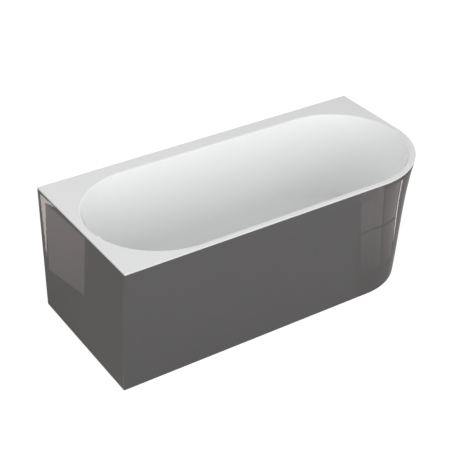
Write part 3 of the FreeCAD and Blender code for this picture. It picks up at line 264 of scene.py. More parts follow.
def lip_rows(count):
    """The rounded lip, wall to deck: a turn about a line one radius under the deck and behind the wall."""
    touch = LIP * (1 - np.sin(wall_lean)) / DEPTH
    swing = wall_lean + (np.pi / 2 - wall_lean) * np.linspace(0, 1, count)[:, None]
    reach = LIP * (np.cos(wall_lean) - np.cos(swing))
    plan = basin_line(touch, 0) + reach[..., None] * np.stack([out_x, out_y], -1)
    return rows_of(plan, TOP - LIP + LIP * np.sin(swing)), touch


def deck_line(eased):
    """The deck's outline, drawn in by an ease, met by a line out from each point of the basin's lip."""
    start = basin_line(0, 0)
    with np.errstate(divide="ignore", invalid="ignore"):
        to_x = np.where(np.abs(out_x) > 1e-9, (np.sign(out_x) * HALF_LENGTH - start[:, 0]) / out_x, np.inf)
        to_y = np.where(np.abs(out_y) > 1e-9, (np.sign(out_y) * HALF_WIDTH - start[:, 1]) / out_y, np.inf)
    square = start + np.minimum(to_x, to_y)[:, None] * np.stack([out_x, out_y], -1)
    limit = np.array([HALF_LENGTH - eased, HALF_WIDTH - eased])
    square = np.clip(square, -limit, limit)
    radius = CORNER_RADIUS - eased
    rounded = np.stack([RIGHT_X + radius * out_x, RIGHT_Y + radius * out_y], -1)
    return np.where((by_front == 1)[:, None], rounded, square)


def hole_line(edge):
    """A ring of the waste hole's radius, each point in line with its own point of the floor's edge."""
    turn_to = np.arctan2(edge[:, 1] - WASTE_Y, edge[:, 0] - WASTE_X)
    return np.stack([WASTE_X + WASTE_HOLE * np.cos(turn_to), WASTE_Y + WASTE_HOLE * np.sin(turn_to)], -1)


def floor_rows(edge, height):
    """The floor, from the waste hole to the start of the heel."""
    share = np.array([0, 0.02, 0.3, 0.6, 0.9])[:, None, None]
    hole = hole_line(edge)
    return rows_of(hole + (edge - hole) * share, height)


inner_heel, inner_touch = heel_rows(0, 26)
lip, lip_touch = lip_rows(12)
deck_edge = np.concatenate([rows_of(deck_line(DECK_EDGE * (1 - math.sin(step)))[None],
                                    TOP - DECK_EDGE * (1 - math.cos(step)))
                            for step in np.linspace(0, np.pi / 2, 7)])
deck_near = rows_of((lip[-1, :, :2] + DECK_STEP * np.stack([out_x, out_y], -1))[None], TOP)
deck_far = rows_of(deck_line(DECK_EDGE + DECK_STEP)[None], TOP)
outer_heel, outer_touch = heel_rows(WALL, 10)
under_share = (TOP - DECK_UNDER) / DEPTH
shell = np.concatenate([
    floor_rows(inner_heel[0, :, :2], FLOOR), inner_heel,
    wall_rows(0, inner_touch, lip_touch, 30)[1:-1], lip,
    deck_near, deck_far, deck_edge, rows_of(deck_line(0)[None], DECK_UNDER),
    wall_rows(WALL, outer_touch, under_share, 12)[::-1], outer_heel[::-1],
    floor_rows(outer_heel[0, :, :2], FLOOR - WALL)[::-1]])
bath_shell = fit_piece(close_mesh("bath_shell", [shell], loop=True), white_acrylic(), "bath",
                       "white_acrylic", "tub_shell")


def turned_rows(radius, height, turns, place=(0, 0, 0), axis=(0, 0, 1), side=(1, 0, 0)):
    """A piece turned on an axis: points at a radius and a height, carried round from a side by turns."""
    axis, side = np.asarray(axis, float), np.asarray(side, float)
    radius, height = (np.reshape(given, (len(given), -1, 1)) for given in (radius, height))
    round_axis = np.cos(turns)[:, None] * side + np.sin(turns)[:, None] * np.cross(axis, side)
    return np.asarray(place) + radius * round_axis + height * axis


FULL_TURN = np.linspace(0, 2 * np.pi, 97)[:-1]
OVERFLOW_DROP, OVERFLOW_HOLE, DRILL_REACH = 0.085, 0.026, 0.02
END_LEAN = math.atan((INSET + SLIDE) / DEPTH)
OVERFLOW = np.array([LEFT_X - LEFT_RADIUS + OVERFLOW_DROP * math.tan(END_LEAN), LEFT_Y, TOP - OVERFLOW_DROP])
OVERFLOW_AXIS = np.array([math.cos(END_LEAN), 0, math.sin(END_LEAN)])
DOWN_WALL = np.array([math.sin(END_LEAN), 0, -math.cos(END_LEAN)])
drill_rows = turned_rows([0, OVERFLOW_HOLE, OVERFLOW_HOLE, 0],
                         [-DRILL_REACH, -DRILL_REACH, DRILL_REACH, DRILL_REACH],
                         FULL_TURN, OVERFLOW, OVERFLOW_AXIS, DOWN_WALL)
drill = bpy.data.objects.new("overflow_drill", close_mesh("overflow_drill", [drill_rows]))
bpy.context.scene.collection.objects.link(drill)
hole = bath_shell.modifiers.new("overflow_hole", "BOOLEAN")
hole.object, hole.operation, hole.solver = drill, "DIFFERENCE", "EXACT"
bored = bpy.data.meshes.new_from_object(bath_shell.evaluated_get(bpy.context.evaluated_depsgraph_get()))
bath_shell.modifiers.clear()
bath_shell.data = bored
bored.set_sharp_from_angle(angle=math.radians(32))
bpy.data.objects.remove(drill)


# Glass-fibre skin: chopped strand mat and polyester resin, rolled by hand on the underside of the basin
# while the shell lies face down. It stiffens the acrylic, and sets with a lumpy face full of strands.
def glass_fibre():
    """Strands laid every way in a milky yellow resin: thin lines where stretched noise crosses its middle
    value, in six directions, over cloudy patches where the mat is thicker."""
    start, place = new_finish("strand_and_resin")
    strands = None
    for spin in range(6):
        laid = start.node("ShaderNodeMapping", {}, {
            "Vector": place, "Rotation": (0.5 + 1.05 * spin, 0.3 + 0.52 * spin, 0.2 + 0.87 * spin),
            "Location": (0.37 * spin, 0.11 * spin, 0.23 * spin), "Scale": (11, 210, 210)})
        line = 1 - start.maths("ABSOLUTE", start.noise(laid, 1.0, 1.0) - 0.5).between(0.004, 0.035)
        strands = line if strands is None else strands.maths("MAXIMUM", strands, line)
    patches = start.noise(place, 26.0, 3.0)
    fine = start.noise(place, 420.0, 2.0)
    resin = patches.between(0.35, 0.68).tint((0.46, 0.44, 0.345), (0.60, 0.59, 0.50))
    return start.surface({
        "Base Color": (0.72 * strands).tint(resin, (0.78, 0.775, 0.72)),
        "Roughness": 0.34 + 0.22 * patches - 0.08 * strands,
        "IOR": 1.54,
        "Normal": start.bump(strands + 0.35 * fine, 0.0005, 0.8)})


def lumps(points, size, seed):
    """Slow swelling from 0 to 1: the mean of twelve waves that cross the points in random directions."""
    chance = np.random.default_rng(seed)
    waves = chance.normal(0, 2 * np.pi / size, (12, 3))
    return 0.5 + 0.5 * np.sin(points @ waves.T + chance.uniform(0, 2 * np.pi, 12)).mean(-1)


SKIN_IN, SKIN_OUT, SKIN_SWELL = 0.0052, 0.0092, 0.0011
skin_heel, skin_touch = heel_rows(SKIN_OUT, 22)
skin_face = np.concatenate([floor_rows(skin_heel[0, :, :2], FLOOR - SKIN_OUT)[1:], skin_heel[1:],
                            wall_rows(SKIN_OUT, skin_touch, under_share, 44)[1:]])

# The outer face sinks in where the lumps are low, square to itself: the cross product of its two slopes
skin_out = np.cross(np.gradient(skin_face, axis=1), np.gradient(skin_face, axis=0))
skin_out /= np.maximum(np.linalg.norm(skin_out, axis=-1, keepdims=True), 1e-12)
swell = 0.6 * lumps(skin_face, 0.11, 3) + 0.4 * lumps(skin_face, 0.035, 8)
skin_face = skin_face - SKIN_SWELL * (1 - swell)[..., None] * skin_out
lining_heel, lining_touch = heel_rows(SKIN_IN, 8)
skin = np.concatenate([
    floor_rows(lining_heel[0, :, :2], FLOOR - SKIN_IN), lining_heel,
    wall_rows(SKIN_IN, lining_touch, under_share, 6), skin_face[::-1],
    floor_rows(skin_heel[0, :, :2], FLOOR - SKIN_OUT)[:1]])
fit_piece(close_mesh("glass_fibre_coat", [skin], loop=True, sharp=50), glass_fibre(), "bath", "glass_fibre",
          "glass_fibre_skin")


# Base board: moisture-proof chipboard, sawn to size and bedded in the wet resin under the basin's floor. The
# cradle's screws bite in it.
def dress(material, *nodes):
    """Gives a finish to solids that keep their own shape."""
    for node in nodes:
        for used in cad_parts[node].material_slots:
            used.material = material


def chipboard():
    """Pressed chips: flat cells in straw colours, each with its own tone, and fine dust between them."""
    start, place = new_finish("pressed_chipboard")
    flat = start.node("ShaderNodeMapping", {}, {"Vector": place, "Scale": (1, 1.5, 4)})
    chips = start.node("ShaderNodeTexVoronoi", {}, {"Vector": flat, "Scale": 170.0}, "Color")
    tone = start.node("ShaderNodeSeparateColor", {}, {"Color": chips}, 0)
    dust = start.noise(place, 520.0, 3.0)
    colour = start.node("ShaderNodeValToRGB", {"stops": [
        (0.0, (0.17, 0.105, 0.052)), (0.45, (0.33, 0.225, 0.120)), (1.0, (0.50, 0.385, 0.235))]},
        {"Fac": 0.7 * tone + 0.3 * dust})
    return start.surface({
        "Base Color": colour, "Roughness": 0.62 + 0.2 * dust,
        "Normal": start.bump(0.6 * tone + 0.4 * dust, 0.0005, 0.7)})


dress(chipboard(), "base_board")


# Rim timbers: a planed softwood batten under the back rim, screwed to the posts, and sawn blocks bonded
# under the three wide corners of the deck.
def softwood(name, turn_z):
    """Planed softwood: growth rings about a heart outside the piece, drawn out along the grain, with darker
    late wood and fine pores."""
    start, place = new_finish(name)
    along = start.node("ShaderNodeMapping", {}, {
        "Vector": place, "Location": (0.0, -0.06, 0.05), "Rotation": (0.05, 0.03, turn_z),
        "Scale": (0.35, 1, 1)})
    sway = start.noise(along, 7.0, 3.0)
    rings = start.node(
        "ShaderNodeTexWave", {"wave_type": "RINGS", "rings_direction": "X", "wave_profile": "SAW"},
        {"Vector": along, "Scale": 34.0, "Distortion": 2.2 + 2.0 * sway, "Detail": 2.0,
         "Detail Scale": 1.4})
    fibre_place = start.node("ShaderNodeMapping", {}, {"Vector": along, "Scale": (30, 900, 900)})
    pores = start.noise(fibre_place, 1.0, 3.0)
    wood = (rings ** 2.2).tint((0.60, 0.415, 0.225), (0.37, 0.205, 0.085))
    return start.surface({
        "Base Color": (0.35 * pores).tint(wood, (0.66, 0.49, 0.30)),
        "Roughness": 0.52 + 0.22 * pores,
        "Normal": start.bump(0.5 * rings + 0.5 * pores, 0.0003, 0.7)})


dress(softwood("softwood_batten", 0.02), "rim_batten_back")
dress(softwood("softwood_block", 0.8), "corner_block_back_left", "corner_block_front_left",
      "corner_block_back_right")


# Cradle: galvanised square tube, welded up from two rails, three cross members and three posts with plates
# for the batten. The tube ends are closed with pressed-in caps.
def galvanised():
    """Hot-dip zinc: flat crystals of mixed brightness under a soft grey bloom."""
    start, place = new_finish("zinc_spangle")
    wander = start.noise(place, 30.0, 2.0)
    bent = start.node("ShaderNodeVectorMath", {"operation": "MULTIPLY_ADD"},
                      {0: start.node("ShaderNodeCombineXYZ", {}, {0: wander, 1: wander, 2: wander}),
                       1: (0.012, 0.012, 0.012), 2: place})
    crystal = start.node("ShaderNodeTexVoronoi", {}, {"Vector": bent, "Scale": 95.0}, "Color")
    tone = start.node("ShaderNodeSeparateColor", {}, {"Color": crystal}, 0)
    bloom = start.noise(place, 14.0, 4.0, 0.6)
    shine = tone.tint((0.33, 0.345, 0.36), (0.60, 0.615, 0.63))
    return start.surface({
        "Base Color": bloom.between(0.45, 0.75).tint(shine, (0.50, 0.51, 0.52)),
        "Metallic": 0.92 - 0.25 * bloom.between(0.5, 0.8),
        "Roughness": 0.26 + 0.16 * tone + 0.16 * bloom,
        "Normal": start.bump(tone + 0.5 * wander, 0.00006)})


def weld_bead(start_at, end_at, radius, across, up):
    """A weld: a round thread from one point to the other, rippled every 3 mm and closed at its ends."""
    start_at, end_at = np.asarray(start_at, float), np.asarray(end_at, float)
    share, pitch = np.linspace(0, 1, 49), 0.003
    ripple = 1 + 0.13 * np.sin(share * np.linalg.norm(end_at - start_at) / pitch * 2 * np.pi)
    girth = radius * ripple * np.sqrt(np.clip(1 - np.abs(2 * share - 1) ** 6, 0, 1))
    swing = np.linspace(0, 2 * np.pi, 13)[:-1]
    ring = np.cos(swing)[:, None] * across + np.sin(swing)[:, None] * up
    line = start_at + (end_at - start_at) * share[:, None]
    return line[:, None] + girth[:, None, None] * ring


CROSS_X, RAIL_Y, POST_Y = (-0.590, -0.0875, 0.415), (-0.1605, 0.1095), 0.3275
CROSS_TOP, PLATE_UNDER, HALF_TUBE, WELD = 0.1208, 0.566, 0.0125, 0.0024
SEAM, HALF_RUN = HALF_TUBE - 0.0006, 0.0105
X_WAY, Y_WAY, Z_WAY = np.eye(3)
rail_seams = [(rail + side * SEAM, CROSS_TOP) for rail in RAIL_Y for side in (-1, 1)]
post_seams = [(POST_Y - SEAM, CROSS_TOP), (POST_Y - SEAM, PLATE_UNDER), (POST_Y + SEAM, PLATE_UNDER)]
beads = [weld_bead((x - HALF_RUN, y, z), (x + HALF_RUN, y, z), WELD, Y_WAY, Z_WAY)
         for seams in (rail_seams, post_seams) for x in CROSS_X for y, z in seams]
beads += [weld_bead((x, POST_Y - HALF_RUN, PLATE_UNDER), (x, POST_Y + HALF_RUN, PLATE_UNDER),
                    WELD, X_WAY, Z_WAY) for post in CROSS_X for x in (post - SEAM, post + SEAM)]
zinc_dipped = galvanised()
fit_piece(close_mesh("cradle_welds", beads), zinc_dipped, "bath", "galvanised_steel")
dress(zinc_dipped, "frame_rail_front", "frame_rail_back", "cross_member_left", "cross_member_middle",
      "cross_member_right", "rim_post_left", "rim_post_middle", "rim_post_right", "post_plate_left",
      "post_plate_middle", "post_plate_right")


def black_plastic():
    """Moulded nylon: near black, with a fine spark-eroded texture and paler rubbed patches."""
    start, place = new_finish("textured_black_nylon")
    grain = start.noise(place, 1500.0, 2.0)
    rub = start.noise(place, 55.0, 4.0, 0.65).between(0.56, 0.78)
    return start.surface({
        "Base Color": rub.tint((0.016, 0.016, 0.017), (0.038, 0.038, 0.040)),
        "Roughness": 0.42 + 0.16 * grain - 0.08 * rub,
        "Normal": start.bump(grain, 0.00012, 0.6)})


black_nylon = black_plastic()
dress(black_nylon, "tube_caps")


# Screws: zinc-plated pan heads with a cross recess. Four hold the board to the rails, two hold each post
# plate to the batten, and two hold each toe bracket to its cross member.
def zinc_plate():
    """Bright zinc plating with a faint yellow and blue bloom and fine handling marks."""
    start, place = new_finish("bright_zinc_plate")
    bloom = start.noise(place, 70.0, 2.0)
    marks = start.noise(place, 800.0, 3.0)
    return start.surface({
        "Base Color": bloom.between(0.3, 0.7).tint((0.66, 0.665, 0.68), (0.70, 0.66, 0.53)),
        "Metallic": 0.95,
        "Roughness": 0.22 + 0.16 * marks + 0.08 * bloom,
        "Normal": start.bump(marks, 0.00003)})


def pan_screw(seat, length, way):
    """A screw turned on its own axis: a domed head with a cross sunk in it, then the shank. The cross is
    where a point lies near one of two lines through the middle and not far out."""
    head, height, shank = 0.0045, 0.0024, 0.0022
    half_slot, slot_reach, slot_depth = 0.0009, 0.0029, 0.0011
    turns = np.linspace(0, 2 * np.pi, 49)[:-1]
    same = np.ones((1, len(turns)))
    out = np.concatenate([np.linspace(0, 0.0032, 17), np.linspace(0.0035, head, 8)])[:, None]
    dome = -height * (1 - 0.38 * (out / head) ** 2) * same
    dome[-1] = -height * 0.35
    near = np.minimum(np.abs(np.cos(turns)), np.abs(np.sin(turns))) * out
    far = np.maximum(np.abs(np.cos(turns)), np.abs(np.sin(turns))) * out
    across_slot = np.clip((half_slot - near) / 0.0004, 0, 1)
    along_slot = np.clip((slot_reach - far) / 0.0005, 0, 1)
    rest = np.array([[head, 0], [shank, 0], [shank, length - 0.002], [0.0004, length], [0, length]])
    radius = np.concatenate([out * same, rest[:, :1] * same])
    level = np.concatenate([dome + slot_depth * across_slot * along_slot, rest[:, 1:] * same])
    return turned_rows(radius, level, turns, seat, (0, 0, way))


plated = zinc_plate()
BOARD_SCREW_X, PLATE_SCREW_OUT, LONG_SCREW, SHORT_SCREW = (-0.2905, 0.3675), 0.02375, 0.0366, 0.0146
BRACKET_SCREW_Y, BRACKET_TOP = -0.2515, CROSS_TOP + 0.003
board_spots = [(x, y, CROSS_TOP) for x in BOARD_SCREW_X for y in RAIL_Y]
plate_spots = [(x + side * PLATE_SCREW_OUT, POST_Y, PLATE_UNDER) for x in CROSS_X for side in (-1, 1)]
bracket_spots = [(x + side * HALF_TUBE / 2, BRACKET_SCREW_Y, BRACKET_TOP)
                 for x in CROSS_X for side in (-1, 1)]
for label, spots, length, way in (("board_screws", board_spots, LONG_SCREW, 1),
                                  ("post_screws", plate_spots, SHORT_SCREW, 1),
                                  ("bracket_screws", bracket_spots, SHORT_SCREW, -1)):
    heads = [pan_screw(spot, length, way) for spot in spots]
    fit_piece(close_mesh(f"pan_{label}", heads, sharp=40), plated, "bath", "zinc_steel", label)


# Feet: a moulded nylon pad with grip flutes on a plated stud, which screws up and down in its cross member
# and is locked there by two nuts.
def eased(corners, ease, steps=5):
    """An open profile with its inner corners eased: each curve leaves one side and joins the next at the
    same distance from the corner, at most 0.45 of either side."""
    corners = np.asarray(corners, float)
    first, inner, last = corners[:-2], corners[1:-1], corners[2:]
    spans = [np.linalg.norm(end - inner, axis=1, keepdims=True) for end in (first, last)]
    reach = np.minimum(ease, 0.45 * np.minimum(*spans))
    leave = inner + (first - inner) / spans[0] * reach
    join = inner + (last - inner) / spans[1] * reach
    share = np.linspace(0, 1, steps)[None, :, None]
    leave, inner, join = leave[:, None], inner[:, None], join[:, None]
    curve = (1 - share) ** 2 * leave + 2 * share * (1 - share) * inner + share ** 2 * join
    return np.concatenate([corners[:1], curve.reshape(-1, 2), corners[-1:]])


def foot_pad(place):
    """A dome turned on its stud, with sixteen shallow flutes that fade out at foot and crown."""
    foot, crown, bulge, rise, flute_depth = 0.027, 0.012, 0.015375, 0.000625, 0.0010
    top, bore, bore_floor = 0.016, 0.0064, 0.0061
    swing = np.radians(np.linspace(12.7, 90, 12))
    dome = np.stack([crown + bulge * np.cos(swing), rise + bulge * np.sin(swing)], -1)
    socket = [(bore, top), (bore, bore_floor), (0, bore_floor)]
    profile = eased(np.concatenate([[(0, 0), (foot, 0)], dome, socket]), 0.0010)
    radius, height = profile[:, :1], profile[:, 1:]
    fade = np.where(radius > 0.0125, np.sin(np.pi * np.clip((height - 0.0040) / 0.0118, 0, 1)), 0)
    flute = (0.5 + 0.5 * np.cos(16 * FULL_TURN)) ** 3
    return turned_rows(radius - flute_depth * fade * flute, height, FULL_TURN, place)


def threaded_stud(place, low, high, major, pitch):
    """A rod whose radius rises and falls once a pitch, the crest winding round it, with eased ends."""
    turns = np.linspace(0, 2 * np.pi, 25)[:-1]
    height = np.arange(low, high, pitch / 5)[:, None]
    rise = np.abs(2 * ((height / pitch - turns / (2 * np.pi)) % 1) - 1)
    end = np.minimum(height - low, high - height)
    radius = np.minimum(major - 0.11 * major * rise, 0.8 * major + end)
    caps = np.zeros((1, len(turns)))
    radius = np.concatenate([caps, radius, caps])
    height = np.concatenate([[[low]], height, [[high]]])
    return turned_rows(radius, height, turns, place)


def hexagon_nut(place, low, height):
    """A nut: six flats, both faces cut back by a cone, and a bore with a countersunk mouth."""
    half_flats, face, mouth, bore, sink = 0.009, 0.0087, 0.0069, 0.0062, 0.0007
    turns = np.linspace(0, 2 * np.pi, 73)[:-1]
    flat = half_flats / np.cos(turns % (np.pi / 3) - np.pi / 6)
    cone = (flat - face) * math.tan(math.radians(30))
    rows = ((bore, sink), (mouth, 0), (face, 0), (flat, cone), (flat, height - cone), (face, height),
            (mouth, height), (bore, height - sink))
    radius, level = (np.stack([row[part] + 0 * turns for row in rows]) for part in (0, 1))
    return turned_rows(radius, low + level, turns, place)


FRONT_FEET, BACK_FEET = -0.230, 0.300
FEET = {"front_left": (CROSS_X[0], FRONT_FEET), "back_left": (CROSS_X[0], BACK_FEET),
        "front_right": (CROSS_X[2], FRONT_FEET), "back_right": (CROSS_X[2], BACK_FEET),
        "middle": (CROSS_X[1], LEFT_Y)}
STUD_LOW, STUD_HIGH, STUD_RADIUS, STUD_PITCH = 0.0062, 0.1408, 0.006, 0.00175
NUT_HEIGHT = 0.009
NUT_LEVELS = (CROSS_TOP, CROSS_TOP - 2 * HALF_TUBE - NUT_HEIGHT)
for label, (x, y) in FEET.items():
    pad = close_mesh(f"pad_{label}", [foot_pad((x, y, 0))], sharp=45)
    fit_piece(pad, black_nylon, f"foot_{label}", "black_plastic", f"foot_pad_{label}")
    thread = threaded_stud((x, y, 0), STUD_LOW, STUD_HIGH, STUD_RADIUS, STUD_PITCH)
    stud = close_mesh(f"stud_{label}", [thread], sharp=70)
    fit_piece(stud, plated, f"foot_{label}", "zinc_steel", f"foot_stud_{label}")
nuts = [hexagon_nut((x, y, 0), low, NUT_HEIGHT) for x, y in FEET.values() for low in NUT_LEVELS]
fit_piece(close_mesh("hexagon_nuts", nuts, loop=True, sharp=25), plated, "bath", "zinc_steel", "lock_nuts")


# Waste: a chromed strainer flange over the hole in the basin's floor, and a moulded polypropylene body under
# it. Screwed together, they clamp the floor between two rubber seals.
def chrome():
    """Polished chrome plate with a breath of smears."""
    start, place = new_finish("polished_chrome")
    smear = start.noise(place, 38.0, 3.0, 0.6).between(0.42, 0.75)
    fine = start.noise(place, 900.0, 2.0)
    return start.surface({
        "Base Color": smear.tint((0.80, 0.81, 0.825), (0.74, 0.75, 0.76)),
        "Metallic": 1.0,
        "Roughness": 0.05 + 0.09 * smear + 0.02 * fine})


def rubber():
    """Moulded rubber: matt black with a dusty grey bloom."""
    start, place = new_finish("matt_rubber")
    dust = start.noise(place, 130.0, 4.0, 0.6)
    return start.surface({
        "Base Color": dust.between(0.45, 0.8).tint((0.022, 0.022, 0.023), (0.060, 0.059, 0.057)),
        "Roughness": 0.66 + 0.2 * dust,
        "Normal": start.bump(dust, 0.0001, 0.5)})


def drain_plastic():
    """Moulded white polypropylene: a waxy half gloss, faint flow marks and a little grey handling dust."""
    start, place = new_finish("white_polypropylene")
    flow = start.noise(place, 22.0, 3.0, 0.55, 0.6)
    dust = start.noise(place, 90.0, 4.0, 0.65).between(0.58, 0.85)
    skin = start.noise(place, 700.0, 2.0)
    return start.surface({
        "Base Color": (0.5 * dust).tint((0.70, 0.70, 0.675), (0.50, 0.495, 0.47)),
        "Roughness": 0.30 + 0.14 * flow + 0.12 * dust,
        "Normal": start.bump(skin, 0.00005)})


polished, black_rubber, white_drain = chrome(), rubber(), drain_plastic()
dress(polished, "waste_flange")
dress(black_rubber, "waste_seal_top", "waste_seal_bottom")
dress(white_drain, "waste_body")


# Pop-up plug: a turned and chromed cap with a rubber seal under it, on a brass stem that slides up and down
# in the strainer's hub.
def brass():
    """Turned brass: fine tool rings round the stem, and brown patches of tarnish."""
    start, place = new_finish("turned_brass")
    tarnish = start.noise(place, 120.0, 3.0, 0.6)
    rings = start.node("ShaderNodeTexWave", {"bands_direction": "Z"},
                       {"Vector": place, "Scale": 900.0, "Distortion": 0.4})
    return start.surface({
        "Base Color": tarnish.between(0.4, 0.75).tint((0.70, 0.53, 0.22), (0.44, 0.30, 0.11)),
        "Metallic": 1.0,
        "Roughness": 0.22 + 0.2 * tarnish,
        "Normal": start.bump(rings, 0.00003)})


CAP_FLOOR, CAP_EDGE, CAP_CROWN, CAP_RADIUS, CAP_EASE = 0.1773, 0.0015, 0.005, 0.031, 0.0006

# The cap's top is part of a ball, whose radius follows from the cap's own radius and the rise over its edge
CAP_DOME = (CAP_RADIUS ** 2 + (CAP_CROWN - CAP_EDGE) ** 2) / (2 * (CAP_CROWN - CAP_EDGE))
cap_out = np.linspace(CAP_RADIUS, 0, 17)
cap_rise = CAP_FLOOR + CAP_CROWN - CAP_DOME + np.sqrt(CAP_DOME ** 2 - cap_out ** 2)
cap_foot = [(0, CAP_FLOOR), (CAP_RADIUS, CAP_FLOOR)]
crown = eased(np.concatenate([cap_foot, np.stack([cap_out, cap_rise], -1)]), CAP_EASE)
crown_rows = turned_rows(crown[:, 0], crown[:, 1], FULL_TURN, (WASTE_X, WASTE_Y, 0))
fit_piece(close_mesh("plug_crown", [crown_rows]), polished, "plug", "chrome", "plug_cap")
dress(black_rubber, "plug_seal")
dress(brass(), "plug_stem", "knob_spindle")


# Overflow: a trim ring in the left end of the basin clamps the wall and a gasket to the body behind it. The
# scalloped knob on the ring turns a spindle, which works the plug through the cable.
def grooved_edge(turns, radius, centre, groove, count, ease):
    """A round edge with a count of round grooves: the nearer of the circle and a groove's own circle about
    a centre outside it, with an eased corner where they meet."""
    offset = (turns + np.pi / count) % (2 * np.pi / count) - np.pi / count
    inside = np.clip(groove ** 2 - (centre * np.sin(offset)) ** 2, 0, None)
    cut = np.where(inside > 0, centre * np.cos(offset) - np.sqrt(inside), 2 * radius)
    return radius - ease * np.log(1 + np.exp((radius - cut) / ease))


def knob_rows():
    """The knob's profile turned on the overflow's axis, with ten grip scallops and a dished face."""
    turns = np.linspace(0, 2 * np.pi, 361)[:-1]
    edge = grooved_edge(turns, radius=0.027, centre=0.0295, groove=0.005, count=10, ease=0.0005)
    profile = eased([(0, 0.010), (0.96, 0.010), (1.0, 0.0112), (1.0, 0.0232), (0.93, 0.0256),
                     (0.86, 0.0260), (0.80, 0.0252), (0.40, 0.0244), (0.0, 0.0243)], 0.0010, 6)
    return turned_rows(profile[:, :1] * edge, profile[:, 1:], turns, OVERFLOW, OVERFLOW_AXIS, DOWN_WALL)


knob = close_mesh("scalloped_knob", [knob_rows()], sharp=50)
fit_piece(knob, polished, "knob", "chrome", "overflow_knob")
dress(polished, "overflow_trim")
dress(black_rubber, "overflow_gasket")
dress(white_drain, "overflow_body")


# Overflow pipe: a rigid bent pipe under the basin, held at both ends by ribbed slip nuts. The control cable
# runs beside it from the knob's spindle to the plug's lifting pin.
def slip_nut(place, axis, side, bore, inner, outer, low, high, grooves):
    """A slip nut turned on its pipe: a skirt with grip grooves and eased rims, and a stepped bore."""
    turns = np.linspace(0, 2 * np.pi, 18 * grooves + 1)[:-1]
    edge = grooved_edge(turns, outer, centre=outer + 0.0015, groove=0.0025, count=grooves, ease=0.0003)
    ease_low, ease_high = 0.0007, 0.0010
    swing = np.linspace(0, np.pi / 2, 5)
    falling, rising = 1 - np.sin(swing), 1 - np.cos(swing)
    foot = np.stack([outer - ease_low * falling, low + ease_low * rising], -1)
    crown = np.stack([outer - ease_high * rising, high - ease_high * falling], -1)
    skirt = np.concatenate([foot, crown])
    hole = np.array([(inner, high), (inner, 0), (bore, 0), (bore, low)])
    radius = np.concatenate([skirt[:, :1] - outer + edge, hole[:, :1] + 0 * edge])
    height = np.concatenate([skirt[:, 1:], hole[:, 1:]])
    return turned_rows(radius, height, turns, place, axis, side)


PIPE_NUT = {"bore": 0.0143, "inner": 0.0166, "outer": 0.0191, "low": -0.0025, "high": 0.012, "grooves": 12}
PIPE_OUT, TOP_SOCKET, FOOT_SOCKET = 0.0194, 0.058, 0.060
pipe_back = SKIN_OUT * math.cos(END_LEAN) + PIPE_OUT
pipe_top = OVERFLOW - pipe_back * OVERFLOW_AXIS + TOP_SOCKET * DOWN_WALL
pipe_foot = (WASTE_X - FOOT_SOCKET, WASTE_Y, FLOOR - SKIN_OUT - PIPE_OUT)
for end, place, axis in (("top", pipe_top, -DOWN_WALL), ("bottom", pipe_foot, X_WAY)):
    nut_rows = slip_nut(place, axis, Y_WAY, **PIPE_NUT)
    nut = close_mesh(f"pipe_slip_nut_{end}", [nut_rows], loop=True, sharp=40)
    fit_piece(nut, white_drain, "bath", "drain_plastic", f"pipe_nut_{end}")
dress(white_drain, "overflow_pipe")


def cable_sheath():
    """Extruded sheath: dark grey, satin, with the lay of the wound liner showing faintly through."""
    start, place = new_finish("satin_cable_sheath")
    lay = start.node("ShaderNodeTexWave", {"bands_direction": "DIAGONAL"},
                     {"Vector": place, "Scale": 260.0, "Distortion": 0.6})
    rub = start.noise(place, 160.0, 3.0)
    return start.surface({
        "Base Color": rub.tint((0.030, 0.030, 0.033), (0.062, 0.062, 0.066)),
        "Roughness": 0.36 + 0.2 * rub,
        "Normal": start.bump(lay, 0.00012, 0.6)})


dress(cable_sheath(), "control_cable")


# Trap: a moulded water-seal bend under the waste, and the outlet pipe from it to the open back. Two large
# ribbed nuts, screwed up by hand, hold the bend to the waste and the pipe to the bend.
TRAP_NUT = {"bore": 0.0203, "inner": 0.0203, "outer": 0.029, "low": -0.008, "high": 0.008, "grooves": 16}
TRAP_INLET, TRAP_OUTLET = (WASTE_X, WASTE_Y, 0.0965), (WASTE_X, 0.0785, 0.0985)
for end, place, axis in (("inlet", TRAP_INLET, Z_WAY), ("outlet", TRAP_OUTLET, Y_WAY)):
    nut_rows = slip_nut(place, axis, X_WAY, **TRAP_NUT)
    nut = close_mesh(f"trap_nut_{end}", [nut_rows], loop=True, sharp=40)
    fit_piece(nut, white_drain, "bath", "drain_plastic", f"trap_{end}_nut")
dress(white_drain, "trap_bend", "outlet_pipe")


# Apron: one sheet of graphite acrylic, bent round the left end, the front, the round corner and the right
# end. It stands under the edge of the deck, clipped from inside, and draws in towards the floor.
def graphite_acrylic():
    """Gloss acrylic, coloured through: a dark warm grey with a very fine pale fleck under the polish."""
    start, place = new_finish("gloss_graphite_acrylic")
    cloud = start.noise(place, 3.1, 3.0)
    fleck = start.node("ShaderNodeTexVoronoi", {}, {"Vector": place, "Scale": 1400.0}, "Color")
    spark = start.node("ShaderNodeSeparateColor", {}, {"Color": fleck}, 0).between(0.86, 1.0)
    peel = start.noise(place, 45.0, 2.0)
    base = cloud.tint((0.0930, 0.0895, 0.0895), (0.0990, 0.0955, 0.0955))
    return start.surface({
        "Base Color": spark.tint(base, (0.135, 0.130, 0.128)),
        "Roughness": 0.02 + 0.015 * cloud,
        "IOR": 1.2,
        "Normal": start.bump(peel, 0.00004)})


APRON_TOE, APRON_TOP, APRON_WALL, BEND_EASE = 0.004, 0.594, 0.004, 0.0012

# How far the apron draws in at a level: a cubic through four of its levels
draw_in = np.polynomial.Polynomial.fit([APRON_TOE, 0.190, 0.395, APRON_TOP], [0.054, 0.041, 0.027, 0.0], 3)


